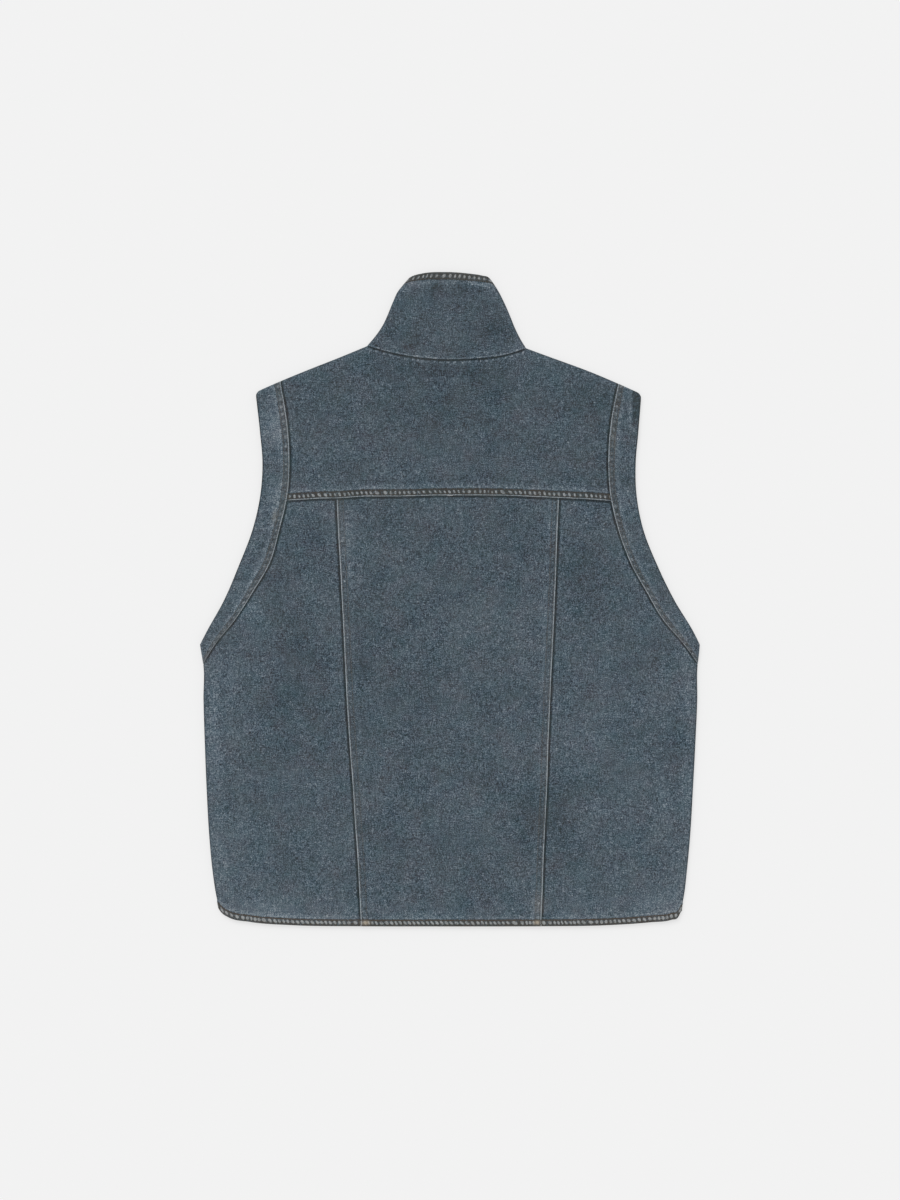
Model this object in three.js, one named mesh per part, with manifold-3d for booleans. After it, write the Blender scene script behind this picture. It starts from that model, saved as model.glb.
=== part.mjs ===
// A sleeveless denim vest with a stand collar and a front zip, laid flat on its front so that
// its back faces up. Sizes are in millimetres. X runs across the back, Y up towards the
// collar and Z up from the surface that the vest lies on. Left is the wearer's left, at -X.
import * as THREE from "three";
import Module from "manifold-3d";

// Cloth and lay
const DENIM = 1.4; // body cloth and armhole bands
const COLLAR_WALL = 2.0; // collar cloth with its stiffening
const TAPE_WALL = 0.8; // zip tape
const SEAM = 0.3; // clearance between two pieces at a seam
const LOFT = 5.8; // height of the back's outer face above the surface
const FOLD_RADIUS = 3.0; // how far in from the silhouette a fold rounds over
const EDGE_DROOP = 1.0; // the back lies lower than LOFT along its open edges
const EDGE_DROOP_WIDTH = 38;
const FOLD_ANGLES = [0, 30, 60, 90]; // steps round half of a fold, in degrees

// Raised seams and edges
const SEAM_RISE = 0.9; // a felled seam stands this far above the panel
const YOKE_SEAM_WIDTH = 9.5;
const PRINCESS_SEAM_WIDTH = 8.5;
const BAND_SEAM_WIDTH = 8.0;
const HEM_RISE = 0.8;
const HEM_WIDTH = 8;
const COLLAR_EDGE_WIDTH = 10;
const COLLAR_EDGE_RISE = 0.7;
const COLLAR_BASE_WIDTH = 7;
const COLLAR_BASE_RISE = 0.6;
const BAND_WIDTH = 30;
const RAMP = 1.5; // width over which a raised seam falls back to the panel

// Cut lines. Each curve is seen from above with the back up, and left and right are
// distances from the centre back line.
const NECK_BACK = { centreY: 263.6, rise: 15.4, halfWidth: 91 };
const NECK_FRONT = { centreY: 200, power: 2.2 };
const YOKE_LINE = { centreY: 113.8, drop: 5.2, halfWidth: 177 };
const PRINCESS = { top: 122.3, bottom: 100, topY: 110, bottomY: -360 };
const UNDERARM = { edgeY: -50, seamY: -71 };
const EDGE_STEEPNESS = 1.94; // how fast the armhole's edge and seam rise from the side fold
const SEAM_STEEPNESS = 1.59;
const ZIP_EDGE = 6; // from the centre front to the edge of each front
const FRONT_INSET = 1.5; // the front's open edges lie this far inside the back's
const FRONT_INSET_FADE = 0.12; // share of the armhole over which that grows from its ends
const HEM_Y = -360;
const HEM_CORNER_X = 254;
const COLLAR_FRONT_TOP = { centreY: 285, power: 1.6 }; // the collar's top edge in front

// Places along a seam where the pieces on both sides of it have a point: heights on the
// armhole band's seam, and distances from the centre on the neck seam
const ARMHOLE_STATIONS = [-60, -46, -28, -8, 14, 38, 64, 86, 108, 126, 146, 166, 186, 206, 226];
const SIDE_PANEL_STATIONS = ARMHOLE_STATIONS.slice(0, 8);
const FRONT_STATIONS = ARMHOLE_STATIONS.slice(0, 12);
const NECK_STATIONS = { front: [72, 54, 38, 24, 13], back: [-72, -54, -36, -18, 0, 18, 36, 52, 68] };

const SIDE = [
  { y: -341, left: 254.0, right: 254.6 },
  { y: -326, left: 257.4, right: 257.6 },
  { y: -300, left: 261.3, right: 260.7 },
  { y: -260, left: 265.1, right: 264.4 },
  { y: -210, left: 267.9, right: 267.4 },
  { y: -155, left: 270.1, right: 270.3 },
  { y: -111, left: 271.4, right: 272.2 },
  { y: -71, left: 271.7, right: 272.8 },
  { y: -60, left: 273.6, right: 274.4 },
  { y: -50, left: 275.2, right: 275.0 },
];

const ARMHOLE_EDGE = [
  { y: 228.6, left: 213.2, right: 209.6 },
  { y: 182, left: 208.5, right: 206.3 },
  { y: 151, left: 206.3, right: 204.0 },
  { y: 116, left: 208.6, right: 205.2 },
  { y: 76, left: 217.5, right: 212.9 },
  { y: 37, left: 232.4, right: 228.3 },
  { y: -3, left: 249.6, right: 248.0 },
  { y: -36, left: 268.0, right: 268.0 },
  { y: -50, left: 275.2, right: 275.0 },
];

const BAND_SEAM = [
  { y: 238.4, left: 186.4, right: 185.4 },
  { y: 197, left: 179.4, right: 177.3 },
  { y: 160, left: 176.7, right: 174.2 },
  { y: 112, left: 179.3, right: 176.8 },
  { y: 77, left: 187.5, right: 185.0 },
  { y: 38, left: 198.9, right: 199.5 },
  { y: 8, left: 216.7, right: 216.2 },
  { y: -23, left: 236.7, right: 234.6 },
  { y: -50, left: 258.5, right: 257.6 },
  { y: -71, left: 271.7, right: 272.8 },
];

const SHOULDER = [
  { x: 70, left: 287.6, right: 281.4 },
  { x: 97, left: 276.3, right: 271.4 },
  { x: 121, left: 266.4, right: 262.0 },
  { x: 154, left: 253.2, right: 249.5 },
  { x: 186, left: 239.4, right: 236.4 },
  { x: 212, left: 228.9, right: 226.0 },
];

// The collar's side folds, by share of the way from the neck seam to the top edge
const COLLAR_FOLD = [
  { up: 0, left: 91.0, right: 83.8 },
  { up: 0.12, left: 83.9, right: 78.4 },
  { up: 0.32, left: 74.2, right: 71.2 },
  { up: 0.5, left: 68.4, right: 66.0 },
  { up: 0.7, left: 62.7, right: 58.9 },
  { up: 0.89, left: 56.0, right: 51.8 },
  { up: 1, left: 49.0, right: 46.8 },
];
const COLLAR_CORNER_Y = 348;
const COLLAR_HEIGHT = COLLAR_CORNER_Y - NECK_BACK.centreY;
const COLLAR_TOP = [
  { x: -49, y: 348 },
  { x: -44, y: 354.3 },
  { x: -31, y: 358.4 },
  { x: -4, y: 360 },
  { x: 22, y: 358.4 },
  { x: 41, y: 354.6 },
  { x: 46.8, y: 348 },
];

// How far the hem edge rises above HEM_Y towards the sides
const HEM_RISE_AT_SIDE = [
  { inward: 0, left: 19, right: 19 },
  { inward: 3, left: 15.6, right: 12.2 },
  { inward: 10, left: 11.3, right: 8.7 },
  { inward: 34, left: 5.5, right: 5.2 },
  { inward: 80, left: 1.7, right: 1.8 },
  { inward: 155, left: 0.4, right: 0.3 },
  { inward: HEM_CORNER_X, left: 0, right: 0 },
];

// Where the zip slider under the collar lifts the layers: lift of the front's outer face
// and rise of the back's outer face on the centre line
const ZIP_BULGE = [
  { y: 196, lift: 0, rise: 0 },
  { y: 240, lift: 1.4, rise: 1.6 },
  { y: 262, lift: 2.3, rise: 3.2 },
  { y: 276, lift: 2.4, rise: 4.1 },
  { y: 290, lift: 2.3, rise: 3.8 },
  { y: 325, lift: 1.2, rise: 0.9 },
  { y: 360, lift: 0.4, rise: -0.6 },
];
const ZIP_BULGE_WIDTH = 58;

// Soft ridges and troughs in the back: centre, direction of their length, half sizes, rise
const FOLDS = [
  { x: -215, y: -40, turn: -38, length: 70, width: 20, rise: 0.75 },
  { x: 214, y: -42, turn: 38, length: 66, width: 19, rise: 0.75 },
  { x: -180, y: -190, turn: 84, length: 120, width: 30, rise: 0.5 },
  { x: 190, y: -160, turn: -82, length: 110, width: 26, rise: 0.55 },
  { x: -30, y: -120, turn: 8, length: 95, width: 22, rise: -0.5 },
  { x: 40, y: 10, turn: -12, length: 85, width: 26, rise: 0.45 },
  { x: 20, y: -265, turn: 4, length: 110, width: 28, rise: 0.5 },
  { x: -120, y: 190, turn: -24, length: 60, width: 20, rise: 0.55 },
  { x: 118, y: 188, turn: 24, length: 58, width: 18, rise: 0.5 },
  { x: 0, y: 160, turn: 0, length: 90, width: 20, rise: -0.4 },
];

// Zip
const CHAIN = { halfWidth: 2.8, halfThick: 0.9, bottomY: -344 };
const TAPE = { inner: 3.1, outer: 17, bottomY: -355, topY: 283 };
const BOX = { halfWidth: 2.8, bottomY: -353, topY: CHAIN.bottomY - SEAM, halfThick: 1.1, corner: 0.8 };
// The tape rises where the front's cloth gives way to the thicker collar
const TAPE_STEP = { fromY: 186, length: 12 };
const TAPE_LEVELS = [-200, -20, 140, 186, 192, 200, 212, 224, 236, 248, 260, 270];
const SLIDER = {
  y: 275, // middle of the body
  halfLength: 6,
  halfWidth: 4.6,
  plate: 0.8,
  corner: 1.4,
  halfGap: 1.3, // from the tape's middle to each plate
};
const POST = { length: 3.2, halfWidth: 1.6, corner: 0.6, setBack: 0.4 };
// The bridge holds the pull under the slider. Its flat stretch is a share of its length,
// and its feet go into the plate.
const BRIDGE = { halfLength: 4.4, clear: 2.0, thick: 0.7, width: 1.8, flat: 0.45, foot: 0.4 };
const PULL = { length: 26, halfWidth: 3.4, thick: 1.0, bar: 1.0, corner: 0.4 };
const PULL_EYE = { halfWidth: 1.35, length: 5.4 };

const COLOURS = { denim: 0x4b565f, band: 0x56626b, tape: 0x3b4148, metal: 0x8d8a83 };
const CLOTH_ROUGHNESS = 0.95;
const METAL_ROUGHNESS = 0.38;

const lerp = THREE.MathUtils.lerp;
const clamp = THREE.MathUtils.clamp;
const smooth = (t) => THREE.MathUtils.smoothstep(t, 0, 1);

// A smooth function through a table's rows, from one named column to another
function curve(rows, along, value) {
  const points = rows.map((row) => [row[along], row[value]]).sort((a, b) => a[0] - b[0]);
  const last = points.length - 1;
  const pitch = points.slice(1).map((p, i) => (p[1] - points[i][1]) / (p[0] - points[i][0]));
  const slope = points.map((p, i) => {
    if (i === 0) return pitch[0];
    if (i === last) return pitch[last - 1];
    const before = p[0] - points[i - 1][0];
    const after = points[i + 1][0] - p[0];
    return (pitch[i - 1] * after + pitch[i] * before) / (before + after);
  });
  return (t) => {
    if (t <= points[0][0]) return points[0][1] + slope[0] * (t - points[0][0]);
    if (t >= points[last][0]) return points[last][1] + slope[last] * (t - points[last][0]);
    const i = points.findIndex((p) => p[0] > t) - 1;
    const span = points[i + 1][0] - points[i][0];
    const s = (t - points[i][0]) / span;
    const start = (1 + 2 * s) * (1 - s) ** 2 * points[i][1] + s * (1 - s) ** 2 * span * slope[i];
    const end = s * s * (3 - 2 * s) * points[i + 1][1] + s * s * (s - 1) * span * slope[i + 1];
    return start + end;
  };
}

const bothSides = (rows, along) => ({
  left: curve(rows, along, "left"),
  right: curve(rows, along, "right"),
});
const side = bothSides(SIDE, "y");
const armholeEdge = bothSides(ARMHOLE_EDGE, "y");
const bandSeam = bothSides(BAND_SEAM, "y");
const shoulder = bothSides(SHOULDER, "x");
const collarFold = bothSides(COLLAR_FOLD, "up");
const collarTop = curve(COLLAR_TOP, "x", "y");
const hemRise = bothSides(HEM_RISE_AT_SIDE, "inward");
const zipLift = curve(ZIP_BULGE, "y", "lift");
const zipRise = curve(ZIP_BULGE, "y", "rise");

const hand = (x) => (x < 0 ? "left" : "right");
const shoulderY = (x) => shoulder[hand(x)](Math.abs(x));
const neckBackY = (x) => NECK_BACK.centreY + NECK_BACK.rise * (x / NECK_BACK.halfWidth) ** 2;
const yokeY = (x) => YOKE_LINE.centreY - YOKE_LINE.drop * Math.abs(x / YOKE_LINE.halfWidth) ** 3;
const hemY = (x) => HEM_Y + hemRise[hand(x)](Math.max(0, HEM_CORNER_X - Math.abs(x)));
const neckX = { left: collarFold.left(0), right: collarFold.right(0) };

function princessX(y) {
  const down = (PRINCESS.topY - y) / (PRINCESS.topY - PRINCESS.bottomY);
  return lerp(PRINCESS.top, PRINCESS.bottom, down);
}

// The front neckline falls steeply from the neck point and runs level at the centre front
function neckFrontY(x) {
  const reach = Math.min(Math.abs(x) / neckX[hand(x)], 1);
  return lerp(NECK_FRONT.centreY, neckBackY(neckX[hand(x)]), reach ** NECK_FRONT.power);
}

function collarFrontTopY(x) {
  const reach = Math.min(Math.abs(x) / collarFold[hand(x)](1), 1);
  return lerp(COLLAR_FRONT_TOP.centreY, COLLAR_CORNER_Y, reach ** COLLAR_FRONT_TOP.power);
}

// A height on the centre line under or over the zip slider, faded out to both sides
function overZip(height, x, y) {
  if (y < ZIP_BULGE[0].y) return 0;
  return height(Math.min(y, -HEM_Y)) * Math.exp(-((x / ZIP_BULGE_WIDTH) ** 2));
}

// Height of the front's outer face, which lies on the surface except under the zip slider
const bottomZ = (x, y) => overZip(zipLift, x, y);

// Where the armhole band's edge and seam meet the shoulder fold
const shoulderTip = {};
for (const h of ["left", "right"]) {
  shoulderTip[h] = {
    edgeY: shoulder[h](armholeEdge[h](ARMHOLE_EDGE[0].y)),
    seamY: shoulder[h](bandSeam[h](BAND_SEAM[0].y)),
  };
}

// Distance in from the open edges of the hem and the armholes
function fromOpenEdge(x, y) {
  const h = hand(x);
  const armhole = armholeEdge[h](clamp(y, UNDERARM.edgeY, shoulderTip[h].edgeY)) - Math.abs(x);
  return Math.min(y - hemY(x), y > UNDERARM.edgeY ? armhole : Infinity);
}

function foldRise(x, y) {
  return FOLDS.reduce((sum, fold) => {
    const turn = THREE.MathUtils.degToRad(fold.turn);
    const along = (x - fold.x) * Math.cos(turn) + (y - fold.y) * Math.sin(turn);
    const across = (y - fold.y) * Math.cos(turn) - (x - fold.x) * Math.sin(turn);
    return sum + fold.rise * Math.exp(-((along / fold.length) ** 2) - (across / fold.width) ** 2);
  }, 0);
}

// Height of the back's outer face away from folds in its silhouette
function topZ(x, y) {
  const droop = EDGE_DROOP * (1 - smooth(fromOpenEdge(x, y) / EDGE_DROOP_WIDTH));
  return LOFT - droop + overZip(zipRise, x, y) + foldRise(x, y);
}

// Directions out of the vest over the shoulder, the collar's side and the corner between
const shoulderRun = SHOULDER[4].x - SHOULDER[1].x;
const SHOULDER_SLOPE = Math.atan2(SHOULDER[1].left - SHOULDER[4].left, shoulderRun);
const OUT = {
  side: [1, 0],
  shoulder: [Math.sin(SHOULDER_SLOPE), Math.cos(SHOULDER_SLOPE)],
  collar: [0.88, 0.47],
  corner: [0.67, 0.74],
};
const CORNER_REACH = 12; // the corner's direction fades out over this distance

const neckPointY = (h) => neckBackY(neckX[h]);
const collarShare = (h, y) => (y - neckPointY(h)) / (COLLAR_CORNER_Y - neckPointY(h));

// The nearest fold in the silhouette: the angle round it, 0 at its outermost line and a
// right angle where the cloth lies flat, and the direction out of the vest there
function foldAt(x, y) {
  const h = hand(x);
  const fromSide = side[h](y) - Math.abs(x);
  const fromShoulder = (shoulderY(x) - y) * OUT.shoulder[1];
  const fromCollar = (collarFold[h](collarShare(h, y)) - Math.abs(x)) * OUT.collar[0];
  const fromTop = Math.max(fromShoulder, fromCollar);
  const inward = clamp(Math.min(fromSide, fromTop), 0, FOLD_RADIUS);
  const far = smooth(Math.hypot(Math.abs(x) - neckX[h], y - neckPointY(h)) / CORNER_REACH);
  const straight = fromShoulder > fromCollar ? OUT.shoulder : OUT.collar;
  const out = fromSide < fromTop ? OUT.side : straight.map((v, i) => lerp(OUT.corner[i], v, far));
  return {
    angle: Math.acos(1 - inward / FOLD_RADIUS),
    out: new THREE.Vector3(h === "left" ? -out[0] : out[0], out[1], 0).normalize(),
  };
}

// One point of a wall in the back, which faces up, or in the front, which faces down: its
// outer place, raised by relief, and its plain inner place. A gap parts back and front at a
// fold that has a seam.
function clothPoint(x, y, facing, thick, relief = 0, gap = 0) {
  const { angle, out } = foldAt(x, y);
  const normal = out.clone().multiplyScalar(Math.cos(angle));
  normal.z = facing * Math.sin(angle);
  const middle = (topZ(x, y) + bottomZ(x, y)) / 2;
  const half = (topZ(x, y) - bottomZ(x, y)) / 2 - gap;
  const base = new THREE.Vector3(x, y, middle + facing * (gap + half * Math.sin(angle)));
  return {
    outer: base.clone().addScaledVector(normal, relief),
    inner: base.clone().addScaledVector(normal, -thick),
  };
}

const panelPoint = (facing, thick, relief = () => 0) => (x, y) =>
  clothPoint(x, y, facing, thick, relief(x, y), SEAM / 2);

// A closed wall from rows of points. A ring joins each row's last point to its first.
function wall(rows, ring = false) {
  const across = rows[0].length;
  const positions = [];
  for (const layer of ["outer", "inner"]) {
    for (const row of rows) {
      for (const point of row) positions.push(...point[layer].toArray());
    }
  }
  const at = (layer, r, c) => layer * rows.length * across + r * across + (c % across);
  const faces = [];
  const quad = (a, b, c, d) => faces.push(a, b, c, a, c, d);
  const lastRow = rows.length - 1;
  const spans = ring ? across : across - 1;
  for (let c = 0; c < spans; c++) {
    for (let r = 0; r < lastRow; r++) {
      quad(at(0, r, c), at(0, r, c + 1), at(0, r + 1, c + 1), at(0, r + 1, c));
      quad(at(1, r, c), at(1, r + 1, c), at(1, r + 1, c + 1), at(1, r, c + 1));
    }
    quad(at(0, 0, c + 1), at(0, 0, c), at(1, 0, c), at(1, 0, c + 1));
    quad(at(0, lastRow, c), at(0, lastRow, c + 1), at(1, lastRow, c + 1), at(1, lastRow, c));
  }
  for (let r = 0; r < lastRow && !ring; r++) {
    quad(at(0, r, 0), at(0, r + 1, 0), at(1, r + 1, 0), at(1, r, 0));
    quad(at(0, r + 1, spans), at(0, r, spans), at(1, r, spans), at(1, r + 1, spans));
  }
  return facingOut(new THREE.BufferGeometry().setIndex(faces), positions);
}

// Turns every face round if the solid came out inside out
function facingOut(geometry, positions) {
  const index = geometry.index.array;
  const corner = (i) => new THREE.Vector3().fromArray(positions, index[i] * 3);
  let volume = 0;
  for (let i = 0; i < index.length; i += 3) {
    volume += corner(i).dot(corner(i + 1).cross(corner(i + 2)));
  }
  if (volume < 0) {
    for (let i = 0; i < index.length; i += 3) [index[i], index[i + 1]] = [index[i + 1], index[i]];
  }
  geometry.setAttribute("position", new THREE.Float32BufferAttribute(positions, 3));
  geometry.computeVertexNormals();
  return geometry;
}

// Stations across a panel: a share of the way between its two edges, a distance past that,
// or a fixed place
const share = (...shares) => shares.map((f) => ({ f, d: 0 }));
const shareFrom = (from, ...shares) => shares.map((f) => ({ from, f, d: 0 }));
const shareTo = (to, ...shares) => shares.map((f) => ({ to, f, d: 0 }));
const fromLow = (...distances) => distances.map((d) => ({ f: 0, d }));
const fromHigh = (...distances) => distances.map((d) => ({ f: 1, d: -d }));
const fixed = (...places) => places.map((at) => ({ at }));
const station = (low, high, s) => s.at ?? lerp(s.from ?? low, s.to ?? high, s.f) + s.d;
const foldSteps = FOLD_ANGLES.map((a) => FOLD_RADIUS * (1 - Math.cos(THREE.MathUtils.degToRad(a))));
const foldStepsInward = [...foldSteps].reverse();
const between = (count) => Array.from({ length: count }, (_, i) => (i + 1) / (count + 1));

// A grid of places inside four edges, two as x by y and two as y by x
const SOLVE_STEPS = 30;
function panelGrid(edges, columns, rows, point) {
  return rows.map((row) =>
    columns.map((column) => {
      let x = station(edges.left(0), edges.right(0), column);
      let y = 0;
      for (let step = 0; step < SOLVE_STEPS; step++) {
        y = station(edges.bottom(x), edges.top(x), row);
        x = station(edges.left(y), edges.right(y), column);
      }
      return point(x, y);
    }),
  );
}

// Height of a raised strip at a distance in from its edge
const strip = (distance, width, rise) => rise * (1 - smooth((distance - width) / RAMP));

const hemRelief = (x, y) => strip(y - hemY(x), HEM_WIDTH, HEM_RISE);

function princessRelief(x, y) {
  return strip(princessX(y) - Math.abs(x), PRINCESS_SEAM_WIDTH, SEAM_RISE);
}

function backYoke() {
  const top = (x) => {
    const neck = x < 0 ? x > -neckX.left : x < neckX.right;
    return neck ? neckBackY(x) - SEAM / 2 : shoulderY(x);
  };
  const edges = {
    left: (y) => -bandSeam.left(y) + SEAM / 2,
    right: (y) => bandSeam.right(y) - SEAM / 2,
    bottom: (x) => yokeY(x) + SEAM / 2,
    top,
  };
  const columns = [
    ...share(0),
    ...fixed(-160, -137, -114, -neckX.left - 1),
    ...fixed(...foldSteps.map((d) => -neckX.left + d)),
    ...fixed(...NECK_STATIONS.back),
    ...fixed(...foldStepsInward.map((d) => neckX.right - d)),
    ...fixed(neckX.right + 1, 108, 132, 156),
    ...share(1),
  ];
  const rows = [
    ...fromLow(0, YOKE_SEAM_WIDTH, YOKE_SEAM_WIDTH + RAMP),
    ...share(0.24, 0.38, 0.52, 0.66, 0.8, 0.9),
    ...fromHigh(...foldStepsInward),
  ];
  const relief = (x, y) => strip(y - yokeY(x), YOKE_SEAM_WIDTH, SEAM_RISE);
  return wall(panelGrid(edges, columns, rows, panelPoint(1, DENIM, relief)));
}

const underarmStations = foldSteps.slice(1).map((d) => UNDERARM.seamY + d * SEAM_STEEPNESS);
const hemRows = fromLow(0, HEM_WIDTH, HEM_WIDTH + RAMP);

function backCentre() {
  const edges = {
    left: (y) => -princessX(y) + SEAM / 2,
    right: (y) => princessX(y) - SEAM / 2,
    bottom: hemY,
    top: (x) => yokeY(x) - SEAM / 2,
  };
  const columns = [
    ...fromLow(0, PRINCESS_SEAM_WIDTH, PRINCESS_SEAM_WIDTH + RAMP),
    ...share(0.16, 0.27, 0.38, 0.5, 0.62, 0.73, 0.84),
    ...fromHigh(PRINCESS_SEAM_WIDTH + RAMP, PRINCESS_SEAM_WIDTH, 0),
  ];
  const rows = [...hemRows, ...share(...between(16)), ...share(1)];
  const relief = (x, y) => Math.max(hemRelief(x, y), princessRelief(x, y));
  return wall(panelGrid(edges, columns, rows, panelPoint(1, DENIM, relief)));
}

// The outer edge of a body panel: the band's seam above the underarm, the side fold below
function outerEdge(h, y) {
  if (y > UNDERARM.seamY) return bandSeam[h](Math.min(y, shoulderTip[h].seamY)) - SEAM * 0.8;
  return side[h](Math.max(y, SIDE[0].y));
}

// Edges, stations and mirroring that the two sides' panels share
function sidePanel(h, inner, bottom, top, innerStations, rows, point) {
  const outward = h === "left" ? -1 : 1;
  const outer = (y) => outward * outerEdge(h, y);
  const foldColumns = h === "left" ? fromLow(...foldSteps) : fromHigh(...foldStepsInward);
  const edges = h === "left" ? { left: outer, right: inner } : { left: inner, right: outer };
  const columns = h === "left" ? [...foldColumns, ...innerStations] : [...innerStations, ...foldColumns];
  return wall(panelGrid({ ...edges, bottom, top }, columns, rows, point));
}

function backSide(h) {
  const outward = h === "left" ? -1 : 1;
  const inner = (y) => outward * (princessX(y) + SEAM / 2);
  const innerStations =
    h === "left" ? share(0.12, 0.27, 0.44, 0.62, 0.81, 1) : share(0, 0.19, 0.38, 0.56, 0.73, 0.88);
  const rows = [
    ...hemRows,
    ...share(0.07, 0.13, 0.2, 0.28, 0.36, 0.44, 0.52),
    ...fixed(-92, UNDERARM.seamY - SEAM, ...underarmStations, ...SIDE_PANEL_STATIONS),
    ...share(1),
  ];
  const top = (x) => yokeY(x) - SEAM / 2;
  return sidePanel(h, inner, hemY, top, innerStations, rows, panelPoint(1, DENIM, hemRelief));
}

function front(h) {
  const outward = h === "left" ? -1 : 1;
  const top = (x) => (Math.abs(x) < neckX[h] ? neckFrontY(x) - SEAM / 2 : shoulderY(x));
  const bottom = (x) => hemY(x) + FRONT_INSET;
  const roundNeck = foldSteps.map((d) => neckX[h] - d);
  const places = [132, neckX[h] + 1, ...roundNeck, ...NECK_STATIONS.front];
  const ordered = h === "left" ? places.map((x) => -x) : [...places].reverse();
  const quarters = between(3);
  const innerStations =
    h === "left"
      ? [...shareTo(-places[0], ...quarters), ...fixed(...ordered), ...share(1)]
      : [...share(0), ...fixed(...ordered), ...shareFrom(places[0], ...quarters)];
  const rows = [
    ...fromLow(0, HEM_WIDTH),
    ...fixed(-306, -258, -208, -158, -110, UNDERARM.seamY - SEAM),
    ...fixed(...underarmStations, ...FRONT_STATIONS),
    ...shareFrom(FRONT_STATIONS.at(-1), 0.28, 0.56, 0.8),
    ...fromHigh(...foldStepsInward),
  ];
  const inner = () => outward * ZIP_EDGE;
  return sidePanel(h, inner, bottom, top, innerStations, rows, panelPoint(-1, DENIM));
}

// The ring of an armhole band: down the back, round under the arm, up the front and over
// the shoulder
function armholeBand(h) {
  const outward = h === "left" ? -1 : 1;
  const tip = shoulderTip[h];
  const seamLength = tip.seamY - UNDERARM.seamY;
  const stations = [...ARMHOLE_STATIONS].reverse().map((y) => (tip.seamY - y) / seamLength);
  const down = stations.map((p) => ({ p, atTop: 0, atLow: 0 }));
  const overTop = foldSteps.map((d) => ({ p: 0, atTop: d / OUT.shoulder[1], atLow: 0 }));
  const underArm = foldStepsInward.map((d) => ({ p: 1, atTop: 0, atLow: d }));
  const back = [...overTop, ...down, ...underArm].map((step) => ({ ...step, facing: 1 }));
  const front = [...back.slice(1, -1)].reverse().map((step) => ({ ...step, facing: -1 }));
  const seamShare = BAND_SEAM_WIDTH / BAND_WIDTH;
  const across = [0, 0.3, 0.55, 1 - seamShare - RAMP / BAND_WIDTH, 1 - seamShare, 1];
  const rows = across.map((w) =>
    [...back, ...front].map(({ p, atTop, atLow, facing }) => {
      const edgeY = lerp(tip.edgeY - atTop, UNDERARM.edgeY + atLow * EDGE_STEEPNESS, p);
      const seamY = lerp(tip.seamY - atTop, UNDERARM.seamY + atLow * SEAM_STEEPNESS, p);
      const inset = facing < 0 ? FRONT_INSET * smooth(Math.min(p, 1 - p) / FRONT_INSET_FADE) : 0;
      const edgeX = armholeEdge[h](edgeY) - inset;
      const seamX = bandSeam[h](seamY) + SEAM / 2;
      const x = outward * lerp(edgeX, seamX, w);
      const y = p === 0 ? shoulderY(x) - atTop : lerp(edgeY, seamY, w);
      const relief = facing > 0 ? strip((1 - w) * BAND_WIDTH, BAND_SEAM_WIDTH, SEAM_RISE) : 0;
      return clothPoint(x, y, facing, DENIM, relief * Math.sin(foldAt(x, y).angle));
    }),
  );
  return wall(rows, true);
}

// The collar: from the centre front round the left fold, across the back, round the right
// fold and back to the centre front
function collar() {
  const roundFold = [
    ...foldStepsInward.map((inset) => ({ f: 0, inset, facing: -1 })),
    ...foldSteps.slice(1).map((inset) => ({ f: 0, inset, facing: 1 })),
  ];
  const half = (from) => {
    const frontWidth = neckX[from] - ZIP_EDGE;
    const places = [ZIP_EDGE, ...[...NECK_STATIONS.front].reverse()];
    const front = places.map((x) => ({ f: (neckX[from] - x) / frontWidth, inset: 0, facing: -1 }));
    return [...front, ...roundFold].map((step) => ({ ...step, from }));
  };
  const backWidth = neckX.left + neckX.right;
  const acrossBack = NECK_STATIONS.back.map((x) => (x + neckX.left) / backWidth);
  const columns = [
    ...half("left"),
    ...acrossBack.map((f) => ({ f, inset: 0, facing: 1, from: "left" })),
    ...half("right").reverse(),
  ];
  const edgeShare = COLLAR_EDGE_WIDTH / COLLAR_HEIGHT;
  const ups = [0, COLLAR_BASE_WIDTH / COLLAR_HEIGHT, 0.24, 0.42, 0.6, 0.74];
  ups.push(1 - edgeShare - RAMP / COLLAR_HEIGHT, 1 - edgeShare, 1);
  return wall(ups.map((up) => columns.map((column) => collarPoint(column, up))));
}

function collarPoint({ f, inset, facing, from }, up) {
  const sign = from === "left" ? -1 : 1;
  const other = from === "left" ? "right" : "left";
  const across = (widths) => {
    const start = sign * widths[from];
    const end = facing > 0 ? -sign * widths[other] : sign * ZIP_EDGE;
    return lerp(start, end, f) - sign * inset;
  };
  const widthsAt = (share) => ({ left: collarFold.left(share), right: collarFold.right(share) });
  const x = across(widthsAt(up));
  const base = facing > 0 ? neckBackY(across(widthsAt(0))) : neckFrontY(across(widthsAt(0)));
  const top = facing > 0 ? collarTop(across(widthsAt(1))) : collarFrontTopY(across(widthsAt(1)));
  const y = lerp(base + SEAM / 2, top, up);
  const edgeStrip = strip((1 - up) * COLLAR_HEIGHT, COLLAR_EDGE_WIDTH, COLLAR_EDGE_RISE);
  const baseStrip = strip(up * COLLAR_HEIGHT, COLLAR_BASE_WIDTH - RAMP, COLLAR_BASE_RISE);
  const relief = facing > 0 ? (edgeStrip + baseStrip) * Math.sin(foldAt(x, y).angle) : 0;
  return clothPoint(x, y, facing, COLLAR_WALL, relief);
}

// Height of the front's inner face, on which the zip tapes are sewn
function insideZ(x, y) {
  const thick = lerp(DENIM, COLLAR_WALL, smooth((y - TAPE_STEP.fromY) / TAPE_STEP.length));
  return bottomZ(x, y) + thick;
}

const tapeMiddleZ = (y) => insideZ(0, y) + SEAM + TAPE_WALL / 2;
const MIN_LEVEL_STEP = 5;

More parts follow.
